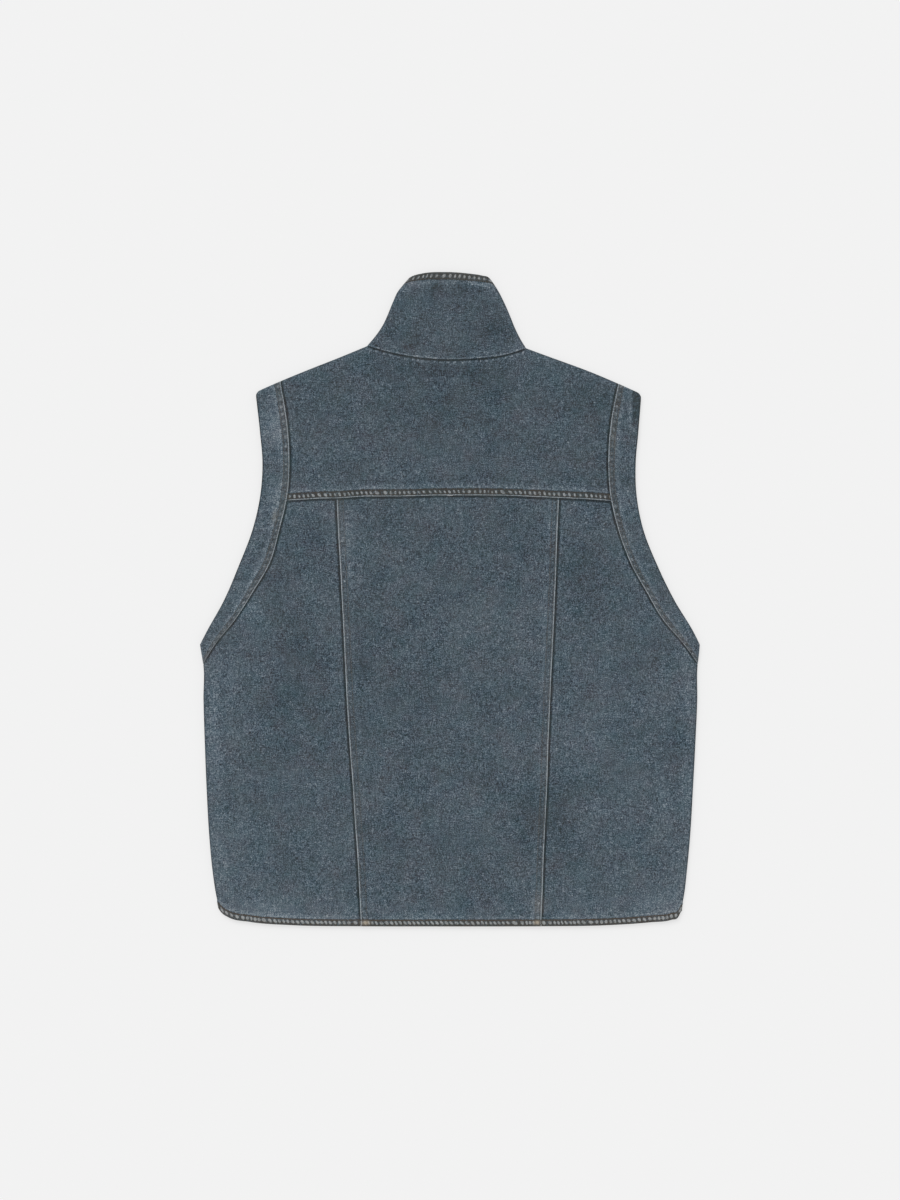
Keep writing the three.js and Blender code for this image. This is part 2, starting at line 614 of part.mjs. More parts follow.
// A strip that follows the front's inner face
function zipStrip(left, right, bottom, top, below, thick) {
  const edges = { left: () => left, right: () => right, bottom: () => bottom, top: () => top };
  const levels = TAPE_LEVELS.filter((y) => y < top - MIN_LEVEL_STEP);
  const rows = [...share(0), ...fixed(...levels), ...share(1)];
  const point = (x, y) => {
    const z = tapeMiddleZ(y) + below;
    return { outer: new THREE.Vector3(x, y, z), inner: new THREE.Vector3(x, y, z + thick) };
  };
  return wall(panelGrid(edges, share(0, 1), rows, point));
}

const zipTape = (h) => {
  const [left, right] = h === "left" ? [-TAPE.outer, -TAPE.inner] : [TAPE.inner, TAPE.outer];
  return zipStrip(left, right, TAPE.bottomY, TAPE.topY, -TAPE_WALL / 2, TAPE_WALL);
};

function zipChain() {
  const top = SLIDER.y + SLIDER.halfLength - POST.length - SEAM;
  const thick = 2 * CHAIN.halfThick;
  return zipStrip(-CHAIN.halfWidth, CHAIN.halfWidth, CHAIN.bottomY, top, -CHAIN.halfThick, thick);
}

// A solid of one thickness cut to a rounded outline, lying flat
function plate(halfWidth, lowY, highY, corner, z, thick, hole) {
  const shape = new THREE.Shape();
  shape.moveTo(-halfWidth + corner, lowY);
  shape.lineTo(halfWidth - corner, lowY);
  shape.absarc(halfWidth - corner, lowY + corner, corner, -Math.PI / 2, 0);
  shape.absarc(halfWidth - corner, highY - corner, corner, 0, Math.PI / 2);
  shape.absarc(-halfWidth + corner, highY - corner, corner, Math.PI / 2, Math.PI);
  shape.absarc(-halfWidth + corner, lowY + corner, corner, Math.PI, Math.PI * 1.5);
  if (hole) shape.holes.push(hole);
  const made = new THREE.ExtrudeGeometry(shape, { depth: thick, bevelEnabled: false, curveSegments: 4 });
  return made.translate(0, 0, z);
}

const sliderZ = tapeMiddleZ(SLIDER.y); // middle of the slider's body
const sliderFace = sliderZ - SLIDER.halfGap - SLIDER.plate; // its outer face, which looks down

// The bridge that holds the pull: an arch under the slider's outer face
function bridge() {
  const { halfLength: reach, clear, thick, width, flat, foot } = BRIDGE;
  const span = reach - thick;
  const low = -clear - thick;
  const bend = -clear / 2; // where the legs start to curve
  const arch = new THREE.Shape();
  arch.moveTo(-reach, foot);
  arch.lineTo(-reach, bend);
  arch.quadraticCurveTo(-reach, low, -reach * flat, low);
  arch.lineTo(reach * flat, low);
  arch.quadraticCurveTo(reach, low, reach, bend);
  arch.lineTo(reach, foot);
  arch.lineTo(span, foot);
  arch.lineTo(span, bend);
  arch.quadraticCurveTo(span, -clear, span * flat, -clear);
  arch.lineTo(-span * flat, -clear);
  arch.quadraticCurveTo(-span, -clear, -span, bend);
  arch.lineTo(-span, foot);
  const made = new THREE.ExtrudeGeometry(arch, { depth: width, bevelEnabled: false, curveSegments: 4 });
  // the profile's X becomes Y, its Y becomes Z and its depth becomes X
  const axes = [new THREE.Vector3(0, 1, 0), new THREE.Vector3(0, 0, 1), new THREE.Vector3(1, 0, 0)];
  made.applyMatrix4(new THREE.Matrix4().makeBasis(...axes));
  return made.translate(-width / 2, SLIDER.y, sliderFace);
}

const wasm = await Module();
wasm.setup();

// A geometry as a solid that can be joined to others
function solid(geometry) {
  const position = geometry.getAttribute("position");
  const index = new Map();
  const vertices = [];
  const faces = [];
  const order = geometry.index ? [...geometry.index.array] : [...Array(position.count).keys()];
  for (const i of order) {
    const place = [position.getX(i), position.getY(i), position.getZ(i)];
    const key = place.map((v) => v.toFixed(4)).join();
    if (!index.has(key)) {
      index.set(key, index.size);
      vertices.push(...place);
    }
    faces.push(index.get(key));
  }
  return new wasm.Manifold(
    new wasm.Mesh({
      numProp: 3,
      vertProperties: new Float32Array(vertices),
      triVerts: new Uint32Array(faces),
    }),
  );
}

function joined(...geometries) {
  const made = geometries.map(solid).reduce((a, b) => a.add(b)).getMesh();
  return new THREE.BufferGeometry()
    .setAttribute("position", new THREE.BufferAttribute(made.vertProperties, 3))
    .setIndex(new THREE.BufferAttribute(made.triVerts, 1));
}

function zipSlider() {
  const low = SLIDER.y - SLIDER.halfLength;
  const high = SLIDER.y + SLIDER.halfLength;
  const outerPlate = plate(SLIDER.halfWidth, low, high, SLIDER.corner, sliderFace, SLIDER.plate);
  const innerZ = sliderZ + SLIDER.halfGap;
  const innerPlate = plate(SLIDER.halfWidth, low, high, SLIDER.corner, innerZ, SLIDER.plate);
  const postLow = high - POST.length;
  const postHigh = high - POST.setBack;
  const postZ = sliderFace + SLIDER.plate / 2;
  const postHeight = 2 * SLIDER.halfGap + SLIDER.plate;
  const post = plate(POST.halfWidth, postLow, postHigh, POST.corner, postZ, postHeight);
  return joined(outerPlate, innerPlate, post, bridge());
}

// The pull turns about its own bar, which lies under the bridge
const pullAxis = { y: SLIDER.y, z: sliderFace - BRIDGE.clear / 2 };

function zipPull() {
  const eye = new THREE.Path();
  const top = -PULL.bar / 2;
  const low = top - PULL_EYE.length;
  eye.moveTo(-PULL_EYE.halfWidth, top);
  eye.lineTo(PULL_EYE.halfWidth, top);
  eye.lineTo(PULL_EYE.halfWidth, low);
  eye.lineTo(-PULL_EYE.halfWidth, low);
  eye.closePath();
  const made = plate(PULL.halfWidth, -PULL.length, -top, PULL.corner, -PULL.thick / 2, PULL.thick, eye);
  return made.translate(0, pullAxis.y, pullAxis.z);
}

function zipBox() {
  const z = tapeMiddleZ(BOX.bottomY) - BOX.halfThick;
  return plate(BOX.halfWidth, BOX.bottomY, BOX.topY, BOX.corner, z, 2 * BOX.halfThick);
}

const finish = (color, roughness, metalness = 0) =>
  new THREE.MeshStandardMaterial({ color, roughness, metalness });

const vest = new THREE.Group();
function add(name, geometry, material) {
  const mesh = new THREE.Mesh(geometry, material);
  mesh.name = name;
  vest.add(mesh);
}

const denim = (colour) => finish(colour, CLOTH_ROUGHNESS);
const metal = () => finish(COLOURS.metal, METAL_ROUGHNESS, 0.9);

add("back_yoke", backYoke(), denim(COLOURS.denim));
add("back_centre", backCentre(), denim(COLOURS.denim));
add("collar", collar(), denim(COLOURS.denim));
for (const h of ["left", "right"]) {
  add(`back_side_${h}`, backSide(h), denim(COLOURS.denim));
  add(`armhole_band_${h}`, armholeBand(h), denim(COLOURS.band));
  add(`front_${h}`, front(h), denim(COLOURS.denim));
  add(`zip_tape_${h}`, zipTape(h), denim(COLOURS.tape));
}
add("zip_chain", zipChain(), metal());
add("zip_box", zipBox(), metal());
add("zip_slider", zipSlider(), metal());
add("zip_pull", zipPull(), metal());

export default vest;
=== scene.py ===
# %% [markdown]
# # A denim vest, laid flat with its back up
# The vest is cut from eleven pieces of washed denim and closed by a zip in front. It lies on
# its front, so the camera looks down on the back: a yoke, a centre panel, two side panels, a
# band round each armhole and a stand collar. The solid model already has each piece in its
# place. Here each piece is made again as a fine shell of cloth on the same cut lines, and
# gets its rolled edges, puckers, stitches, weave and wear.

# %% Load the frame
import math

import bpy
import numpy as np
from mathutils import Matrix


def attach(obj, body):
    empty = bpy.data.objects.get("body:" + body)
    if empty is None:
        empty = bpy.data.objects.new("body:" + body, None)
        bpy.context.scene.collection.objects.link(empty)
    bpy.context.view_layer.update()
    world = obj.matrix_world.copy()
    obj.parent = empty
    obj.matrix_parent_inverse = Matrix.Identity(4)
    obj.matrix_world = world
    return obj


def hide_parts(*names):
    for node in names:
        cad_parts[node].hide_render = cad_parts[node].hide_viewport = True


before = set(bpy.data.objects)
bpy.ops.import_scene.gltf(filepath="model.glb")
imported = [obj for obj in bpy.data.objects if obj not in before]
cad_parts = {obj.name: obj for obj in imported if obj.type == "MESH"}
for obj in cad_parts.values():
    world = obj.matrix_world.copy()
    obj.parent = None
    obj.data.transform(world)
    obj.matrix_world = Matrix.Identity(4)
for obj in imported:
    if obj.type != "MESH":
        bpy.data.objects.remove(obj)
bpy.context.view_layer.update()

MM = 0.001  # the cut lines are written in millimetres, as a pattern cutter writes them
scene = bpy.context.scene
print("nodes in the frame:", len(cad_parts))

# %% [markdown]
# ## Camera
# The photograph looks straight down. A long lens, high above the vest, shows its outline
# with almost no perspective. The camera comes first.

# %% Camera above the vest
FRAME_HEIGHT = 1.320  # what the photograph's 1200 rows take in, at the cloth
FRAME_CENTRE_Y = -0.0008
CLOTH_HEIGHT = 0.006

lens = bpy.data.cameras.new("camera")
lens.lens = 100
lens.sensor_width = 36
lens.clip_end = 30
camera = bpy.data.objects.new("camera", lens)
scene.collection.objects.link(camera)
distance = FRAME_HEIGHT * lens.lens / lens.sensor_width
camera.location = (0, FRAME_CENTRE_Y, distance + CLOTH_HEIGHT)
scene.camera = camera
print("camera height:", round(distance, 3))

# %% [markdown]
# ## Floor and light
# A plain pale floor and light from all round, with one broad soft lamp high at the upper
# left. The sky-like light darkens only what lies deep, such as the groove under a lapped
# seam, and the lamp's slant shows the ridges. The floor is a lit panel, as in a catalogue
# studio, so hardly any shadow shows round the vest. The view transform is the plain one,
# so that a colour that was measured is the colour that is seen.

# %% Light from all round and from one lamp
SKY_STRENGTH = 0.70
LAMP_STRENGTH = 1.45
LAMP_TURN = (math.radians(-34), math.radians(-22), 0)
LAMP_SPREAD = math.radians(38)

scene.view_settings.view_transform = "Standard"
scene.view_settings.look = "None"

world = bpy.data.worlds.new("studio")
world.use_nodes = True
world.node_tree.nodes["Background"].inputs["Color"].default_value = (1, 1, 1, 1)
world.node_tree.nodes["Background"].inputs["Strength"].default_value = SKY_STRENGTH
scene.world = world

lamp_data = bpy.data.lights.new("soft lamp", "SUN")
lamp_data.energy = LAMP_STRENGTH
lamp_data.angle = LAMP_SPREAD
lamp = bpy.data.objects.new("soft lamp", lamp_data)
lamp.rotation_euler = LAMP_TURN
scene.collection.objects.link(lamp)

# %% The floor
def new_material(name):
    """A new material, its node tree and its surface shader."""
    material = bpy.data.materials.new(name)
    material.use_nodes = True
    return material, material.node_tree, material.node_tree.nodes["Principled BSDF"]


def settle(node, **values):
    """Set a node's inputs to plain values."""
    for label, value in values.items():
        node.inputs[label.replace("_", " ")].default_value = value


FLOOR_SIZE = 7.0
FLOOR_COLOUR = (0.25, 0.25, 0.25, 1)
FLOOR_GLOW = 0.625
floor_mesh = bpy.data.meshes.new("floor")
corners = [(x * FLOOR_SIZE, y * FLOOR_SIZE, 0) for x, y in ((-1, -1), (1, -1), (1, 1), (-1, 1))]
floor_mesh.from_pydata(corners, [], [(0, 1, 2, 3)])
floor = bpy.data.objects.new("floor", floor_mesh)
scene.collection.objects.link(floor)
floor_finish, tree, shader = new_material("pale floor")
settle(shader, Base_Color=FLOOR_COLOUR, Roughness=0.9, Specular_IOR_Level=0.0)
settle(shader, Emission_Color=(1, 1, 1, 1), Emission_Strength=FLOOR_GLOW)
see_through = tree.nodes.new("ShaderNodeMixShader")  # the floor is clear when seen from below
for outlet, inlet in (
    (tree.nodes.new("ShaderNodeNewGeometry").outputs["Backfacing"], see_through.inputs["Fac"]),
    (shader.outputs["BSDF"], see_through.inputs[1]),
    (tree.nodes.new("ShaderNodeBsdfTransparent").outputs["BSDF"], see_through.inputs[2]),
    (see_through.outputs["Shader"], tree.nodes["Material Output"].inputs["Surface"]),
):
    tree.links.new(outlet, inlet)
floor_mesh.materials.append(floor_finish)

# %% [markdown]
# ## Cut lines
# A maker draws each seam as a smooth line through a few measured places. The same short
# tables that shaped the solids shape the cloth here. Each row gives a place along the line
# and the distance from the centre back, left and right, because a worn garment is never
# quite even. A curve runs smoothly through the rows.

# %% Smooth curves through short tables
def smooth(t):
    t = np.clip(t, 0, 1)
    return t * t * (3 - 2 * t)


def bell(t):
    return np.exp(-t * t)


def lerp(a, b, t):
    return a + (b - a) * t


def curve(places, values):
    """A smooth function through a table's rows, straight beyond its ends."""
    order = np.argsort(places)
    t, v = np.array(places)[order], np.array(values)[order]
    span, pitch = np.diff(t), np.diff(v) / np.diff(t)
    slope = np.concatenate([pitch[:1], pitch[:1].repeat(len(t) - 2), pitch[-1:]])
    slope[1:-1] = (pitch[:-1] * span[1:] + pitch[1:] * span[:-1]) / (span[:-1] + span[1:])

    def at(where):
        i = np.clip(np.searchsorted(t, where, side="right") - 1, 0, len(t) - 2)
        s = (where - t[i]) / span[i]
        start = (1 + 2 * s) * (1 - s) ** 2 * v[i] + s * (1 - s) ** 2 * span[i] * slope[i]
        end = s * s * (3 - 2 * s) * v[i + 1] + s * s * (s - 1) * span[i] * slope[i + 1]
        beyond = np.where(where < t[0], v[0] + slope[0] * (where - t[0]), v[-1] + slope[-1] * (where - t[-1]))
        return np.where((where < t[0]) | (where > t[-1]), beyond, start + end)

    return at


def both_hands(rows, place_scale=MM):
    """Left and right curves of a table with rows of place, left, right. x picks the hand."""
    rows = np.array(rows, dtype=float)
    left = curve(rows[:, 0] * place_scale, rows[:, 1] * MM)
    right = curve(rows[:, 0] * place_scale, rows[:, 2] * MM)
    return lambda place, x: np.where(np.asarray(x) < 0, left(place), right(place))


# %% The vest's cut lines, in millimetres
HEM_Y = -360 * MM
HEM_CORNER_X = 254 * MM
SIDE_LOW_Y = -341 * MM
UNDERARM_EDGE_Y, UNDERARM_SEAM_Y = -50 * MM, -71 * MM
TIP_EDGE_Y, TIP_SEAM_Y = 228.6 * MM, 238.4 * MM  # the armhole's shoulder tip
COLLAR_CORNER_Y = 348 * MM
NECK_CENTRE_Y, NECK_RISE, NECK_REACH = 263.6 * MM, 15.4 * MM, 91 * MM
NECK_SAG, SAG_X, SAG_REACH = 1.6 * MM, 58 * MM, 26 * MM  # the neck seam hangs a little on the right
FRONT_NECK_Y, FRONT_NECK_BEND = 200 * MM, 2.2
FRONT_COLLAR_Y, FRONT_COLLAR_BEND = 285 * MM, 1.6
ZIP_EDGE = 6 * MM  # from the centre front to the edge of each front
LEFT, RIGHT = -1.0, 1.0
HANDS = ((LEFT, "left"), (RIGHT, "right"))

side_x = both_hands([
    (-341, 254.0, 254.6), (-326, 257.4, 257.6), (-300, 261.3, 260.7), (-260, 265.1, 264.4),
    (-210, 267.9, 267.4), (-155, 270.1, 270.3), (-111, 271.4, 272.2), (-71, 271.7, 272.8),
    (-60, 273.6, 274.4), (-50, 275.2, 275.0),
])
armhole_x = both_hands([
    (228.6, 214.1, 210.9), (182, 208.9, 207.1), (151, 206.4, 204.4), (116, 208.6, 205.2),
    (76, 217.5, 212.9), (37, 232.4, 228.3), (-3, 249.6, 248.0), (-36, 268.0, 268.0),
    (-50, 275.2, 275.0),
])
band_seam_x = both_hands([
    (238.4, 186.4, 185.4), (197, 179.4, 177.3), (160, 176.7, 174.2), (112, 179.3, 176.8),
    (77, 187.5, 185.0), (38, 198.9, 199.5), (8, 216.7, 216.2), (-23, 236.7, 234.6),
    (-50, 258.5, 257.6), (-71, 271.7, 272.8),
])
shoulder_curve = both_hands([
    (70, 287.6, 281.4), (97, 276.3, 271.4), (121, 266.4, 262.7), (154, 253.4, 250.5),
    (186, 240.3, 237.0), (212, 229.0, 225.4),
])
# the collar's side folds, by share of the way from the neck seam to the top edge
collar_fold_x = both_hands([
    (0, 91.0, 83.8), (0.12, 83.9, 78.4), (0.32, 74.2, 71.2), (0.5, 68.4, 66.0),
    (0.7, 62.7, 59.7), (0.89, 56.2, 52.7), (1, 49.4, 47.7),
], place_scale=1)
collar_top_y = curve(
    np.array([-49.4, -45, -39.6, -31, -4, 22, 35, 43, 47.7]) * MM,
    np.array([348, 353.6, 356.2, 358.4, 360, 358.2, 356.2, 353.6, 348]) * MM,
)
# how far the hem rises towards the sides, by the distance in from the corner
hem_rise = both_hands([
    (0, 18.6, 16.4), (3, 14.8, 10.2), (10, 10.2, 7.4), (34, 5.0, 4.5), (80, 1.4, 1.4),
    (155, 0.2, 0.2), (254, 0, 0),
])
# the zip slider under the collar lifts the layers
BULGE_Y = np.array([196, 240, 262, 276, 290, 325, 360]) * MM
zip_lift = curve(BULGE_Y, np.array([0, 1.4, 2.3, 2.4, 2.3, 1.2, 0.4]) * MM)
zip_rise = curve(BULGE_Y, np.array([0, 1.6, 3.2, 4.1, 3.8, 0.9, -0.6]) * MM)
BULGE_WIDTH = 58 * MM

# %% The lines as functions
def shoulder_y(x):
    return shoulder_curve(np.abs(x), x)


def neck_x(x):
    return collar_fold_x(0.0, x)


def neck_back_y(x):
    return NECK_CENTRE_Y + NECK_RISE * (x / NECK_REACH) ** 2 - NECK_SAG * bell((x - SAG_X) / SAG_REACH)


def neck_point_y(x):
    """Height of the neck seam's end at the shoulder, for the hand of x."""
    return neck_back_y(np.where(np.asarray(x) < 0, -neck_x(x), neck_x(x)))


def neck_front_y(x):
    reach = np.minimum(np.abs(x) / neck_x(x), 1)
    return lerp(FRONT_NECK_Y, neck_point_y(x), reach**FRONT_NECK_BEND)


def collar_front_top_y(x):
    reach = np.minimum(np.abs(x) / collar_fold_x(1.0, x), 1)
    return lerp(FRONT_COLLAR_Y, COLLAR_CORNER_Y, reach**FRONT_COLLAR_BEND)


yoke_y = curve(
    np.array([-177, -143, -121, -99, -55, -11, 30, 60, 90, 121, 150, 177]) * MM,
    np.array([108.6, 110.5, 111.1, 112.6, 113.0, 114.1, 114.1, 113.8, 112.6, 111.3, 110.0, 108.1]) * MM,
)


def hem_y(x):
    return HEM_Y + hem_rise(np.maximum(0, HEM_CORNER_X - np.abs(x)), x)


princess_x = both_hands([
    (110, 124.8, 120.0), (75, 123.3, 118.4), (35, 121.0, 117.0), (-45, 116.9, 113.5),
    (-85, 115.0, 111.5), (-125, 112.9, 109.8), (-165, 110.2, 108.2), (-205, 107.1, 107.0),
    (-245, 104.7, 105.0), (-285, 101.8, 103.1), (-325, 99.7, 101.9), (-360, 98.0, 100.3),
])
tip_edge_y = {hand: float(shoulder_curve(armhole_x(TIP_EDGE_Y, hand), hand)) for hand in (LEFT, RIGHT)}
tip_seam_y = {hand: float(shoulder_curve(band_seam_x(TIP_SEAM_Y, hand), hand)) for hand in (LEFT, RIGHT)}
print("shoulder tips:", tip_edge_y, "width at the underarms:", float(2 * side_x(UNDERARM_EDGE_Y, RIGHT)))

# %% [markdown]
# ## How the cloth lies
# The back and the front are two layers that meet in soft folds at the sides, the shoulders
# and the collar's ends. The lie of each layer is a height field: a function that gives the
# cloth's height at any place. All pieces share it, so neighbours meet exactly. A few long
# soft ridges and troughs are listed one by one, and a faint seeded unevenness keeps the cloth
# from looking ironed.

# %% Seeded unevenness
NOISE_SIZE = 64


def unevenness(u, v, seed):
    """Smooth hills and dips between -1 and 1, one for each unit of u and v."""
    heights = np.random.default_rng(seed).uniform(-1, 1, (NOISE_SIZE, NOISE_SIZE))
    i, j = np.floor(u).astype(int), np.floor(v).astype(int)
    s, t = smooth(u - i), smooth(v - j)

    def at(di, dj):
        return heights[(i + di) % NOISE_SIZE, (j + dj) % NOISE_SIZE]

    return lerp(lerp(at(0, 0), at(1, 0), s), lerp(at(0, 1), at(1, 1), s), t)


# %% Soft folds
LOFT = 5.8 * MM  # height of the back's outer face
EDGE_DROOP, EDGE_DROOP_WIDTH = 1.0 * MM, 38 * MM
FRONT_LIFT = 0.15 * MM  # the front's face clears the surface by this much, for its stitches
ZIP_CLEAR, ZIP_CLEAR_FADE = 18 * MM, 14 * MM  # the front is quite flat this near the zip
# height, size across and along, and seed of the unevenness
BACK_RUMPLES = ((0.28 * MM, 34 * MM, 28 * MM, 5), (0.13 * MM, 11 * MM, 12 * MM, 6))
FRONT_RUMPLE = (0.22 * MM, 30 * MM, 40 * MM, 7)

# centre x, y, turn of its length in degrees, half length, half width, rise
FOLDS = [
    (-215, -40, -38, 70, 20, 0.75), (214, -42, 38, 66, 19, 0.75), (-180, -190, 84, 120, 30, 0.5),
    (190, -160, -82, 110, 26, 0.55), (-30, -120, 8, 95, 22, -0.5), (40, 10, -12, 85, 26, 0.45),
    (20, -265, 4, 110, 28, 0.5), (-120, 190, -24, 60, 20, 0.55), (118, 188, 24, 58, 18, 0.5),
    (0, 160, 0, 90, 20, -0.4),
]
# fine creases that only the shell has, in the same columns
CREASES = [
    (-62, -38, 3, 46, 2.6, -0.22), (55, -74, -4, 58, 3.2, 0.26), (-8, -196, 5, 64, 3.4, -0.24),
    (62, -232, -7, 38, 2.8, 0.22), (-200, -118, 12, 34, 3.0, -0.25), (206, -96, -16, 40, 3.2, 0.28),
    (-226, -8, -34, 40, 4.0, 0.36), (228, -14, 32, 38, 3.6, -0.34), (-186, 52, -52, 26, 3.0, 0.26),
    (188, 48, 50, 28, 3.4, 0.26), (-96, 152, 14, 44, 3.2, -0.22), (104, 148, -10, 40, 3.0, 0.22),
    (-30, 226, 3, 50, 3.6, 0.24), (150, -290, 76, 38, 3.4, 0.24), (-166, -282, -80, 44, 3.6, -0.24),
    (-12, 302, -8, 34, 3.0, -0.22), (20, 330, 6, 26, 2.4, 0.2), (-230, -236, 86, 44, 3.6, 0.3),
    (236, -222, -88, 40, 3.4, 0.3), (-58, 92, 88, 22, 2.6, 0.16), (44, 86, -86, 20, 2.6, -0.16),
    (-234, -146, 6, 32, 3.0, 0.3), (-226, -188, -5, 36, 2.8, 0.26), (-238, -262, 3, 34, 3.4, 0.3),
    (-222, -306, -6, 32, 3.0, 0.26), (234, -138, -8, 30, 3.0, 0.28), (238, -176, 10, 26, 2.8, -0.25),
    (230, -268, 6, 36, 3.2, 0.28), (224, -314, -4, 30, 3.0, 0.24), (-150, -226, 12, 30, 2.6, -0.22),
]

# %% The height of each layer
def within(x, y, centre_x, centre_y, turn, length, width):
    """How far places are along and across a turned oval, in half lengths and half widths."""
    cos, sin = math.cos(math.radians(turn)), math.sin(math.radians(turn))
    dx, dy = x - centre_x * MM, y - centre_y * MM
    return (dx * cos + dy * sin) / (length * MM), (dy * cos - dx * sin) / (width * MM)


def folds_at(x, y, folds):
    total = np.zeros_like(x)
    for *oval, rise in folds:
        along, across = within(x, y, *oval)
        total += rise * MM * bell(along) * bell(across)
    return total


def over_zip(height, x, y):
    return np.where(y < BULGE_Y[0], 0, height(np.minimum(y, -HEM_Y)) * bell(x / BULGE_WIDTH))


def from_open_edge(x, y):
    hand_tip = np.where(x < 0, tip_edge_y[LEFT], tip_edge_y[RIGHT])
    armhole = armhole_x(np.clip(y, UNDERARM_EDGE_Y, hand_tip), x) - np.abs(x)
    return np.minimum(y - hem_y(x), np.where(y > UNDERARM_EDGE_Y, armhole, np.inf))


def rumple(x, y, height, across, along, seed):
    return height * unevenness(x / across, y / along, seed)


def top_z(x, y):
    droop = EDGE_DROOP * (1 - smooth(from_open_edge(x, y) / EDGE_DROOP_WIDTH))
    rumples = sum(rumple(x, y, *sizes) for sizes in BACK_RUMPLES)
    soft = folds_at(x, y, FOLDS) + folds_at(x, y, CREASES) + rumples
    return LOFT - droop + over_zip(zip_rise, x, y) + soft


def bottom_z(x, y):
    away_from_zip = smooth((np.abs(x) - ZIP_CLEAR) / ZIP_CLEAR_FADE)
    waves = FRONT_RUMPLE[0] + rumple(x, y, *FRONT_RUMPLE)
    return over_zip(zip_lift, x, y) + FRONT_LIFT + waves * away_from_zip


# %% The rounded folds in the silhouette
FOLD_RADIUS = 3.0 * MM
SHOULDER_SLOPE = math.atan2(276.3 - 239.4, 186 - 97)  # the shoulder's fall over its run
SIDE_OUT = np.array([1.0, 0.0])
SHOULDER_OUT = np.array([math.sin(SHOULDER_SLOPE), math.cos(SHOULDER_SLOPE)])
COLLAR_OUT = np.array([0.88, 0.47])
CORNER_OUT = np.array([0.67, 0.74])
CORNER_REACH = 12 * MM


def outline_distance(x, y):
    """Distances in from the side fold, the shoulder fold and the collar's side fold."""
    neck_point = neck_point_y(x)
    share = (y - neck_point) / (COLLAR_CORNER_Y - neck_point)
    from_side = side_x(y, x) - np.abs(x)
    from_shoulder = (shoulder_y(x) - y) * SHOULDER_OUT[1]
    from_collar = (collar_fold_x(share, x) - np.abs(x)) * COLLAR_OUT[0]
    return from_side, from_shoulder, from_collar


def cloth(x, y, facing, thick, relief=0.0, gap=0.0):
    """Outer and inner places of a wall at x, y, and its outward normal. The back faces 1."""
    from_side, from_shoulder, from_collar = outline_distance(x, y)
    from_top = np.maximum(from_shoulder, from_collar)
    cos = 1 - np.clip(np.minimum(from_side, from_top), 0, FOLD_RADIUS) / FOLD_RADIUS
    sin = np.sqrt(1 - cos**2)
    corner = np.hypot(np.abs(x) - neck_x(x), y - neck_point_y(x)) / CORNER_REACH
    straight = np.where((from_shoulder > from_collar)[..., None], SHOULDER_OUT, COLLAR_OUT)
    over_top = lerp(CORNER_OUT, straight, smooth(corner)[..., None])
    out = np.where((from_side < from_top)[..., None], SIDE_OUT, over_top)
    out = out / np.linalg.norm(out, axis=-1, keepdims=True)
    normal = np.stack([np.sign(x + 1e-9) * out[..., 0] * cos, out[..., 1] * cos, facing * sin], -1)
    top, bottom = top_z(x, y), bottom_z(x, y)
    z = (top + bottom) / 2 + facing * (gap + ((top - bottom) / 2 - gap) * sin)
    base = np.stack([x, y, z], -1)
    return base + normal * np.asarray(relief)[..., None], base - normal * thick, normal


# %% [markdown]
# ## Seams as ridges
# A felled seam or a hem is several layers thick. Seen in section it starts at a rolled
# edge, dips where each row of stitches pulls it down, and puckers between the rows, because
# the thread shrinks in the wash and the cloth ropes. Its height is worked out from two
# things: the distance in from its edge, and a seeded wave along it. The wave is kept on the
# mesh too, because the wear must sit on the same crests.

# %% A ridge with its puckers
ROLL = 1.1 * MM  # over this distance the edge rolls up to the ridge's full height
RAMP = 1.5 * MM
PUCKER = 0.34 * MM
STITCH_DIP = 0.26 * MM
DIP_WIDTH = 0.65 * MM
GROOVE_DEPTH, GROOVE_WIDTH = 0.22 * MM, 1.8 * MM
PUCKER_REACH = 3.2 * MM  # how far the puckers run on past the ridge


def puckers(along, across, pitch, seed):
    """A wave between -1 and 1 along a seam, with uneven spacing, strength and lean."""
    steady = np.zeros_like(along)
    # each is uneven over some pitches of the wave
    drift = 0.55 * unevenness(along / (3.1 * pitch), steady, seed)
    lean = 0.3 + 0.3 * unevenness(along / (5.3 * pitch), steady, seed + 1)
    strength = 0.72 + 0.28 * unevenness(along / (1.3 * pitch), steady, seed + 2)
    fine = 0.22 * unevenness(along / (0.45 * pitch), across / (0.6 * pitch), seed + 3)
    return strength * np.cos(2 * np.pi * (along / pitch + drift + lean * across / pitch)) + fine


def ridge(from_edge, width, rise, wave, rows, pucker=PUCKER):
    """Height over the panel of a seam ridge. rows are the distances of its stitch rows."""
    body = rise * (0.4 + 0.6 * smooth(from_edge / ROLL)) * (1 - smooth((from_edge - width) / RAMP))
    rope = pucker * wave * bell((from_edge - 0.55 * width) / (0.36 * width))
    dips = sum(bell((from_edge - row) / DIP_WIDTH) for row in rows)
    past = 0.4 * pucker * wave * np.exp(-np.maximum(from_edge - width, 0) / PUCKER_REACH)
    return body + rope - STITCH_DIP * dips + past * smooth((from_edge - width) / RAMP)


def groove(from_seam):
    """The dip beside a neighbour's raised edge."""
    return -GROOVE_DEPTH * bell(from_seam / GROOVE_WIDTH)

# %% The ridges of the vest
def seam_sizes(width, rise, rows, pitch, seed):
    """A seam's ridge width, rise, stitch rows and pucker pitch in millimetres, and its seed."""
    rows = [row * MM for row in rows]
    return dict(width=width * MM, rise=rise * MM, rows=rows, pitch=pitch * MM, seed=seed)


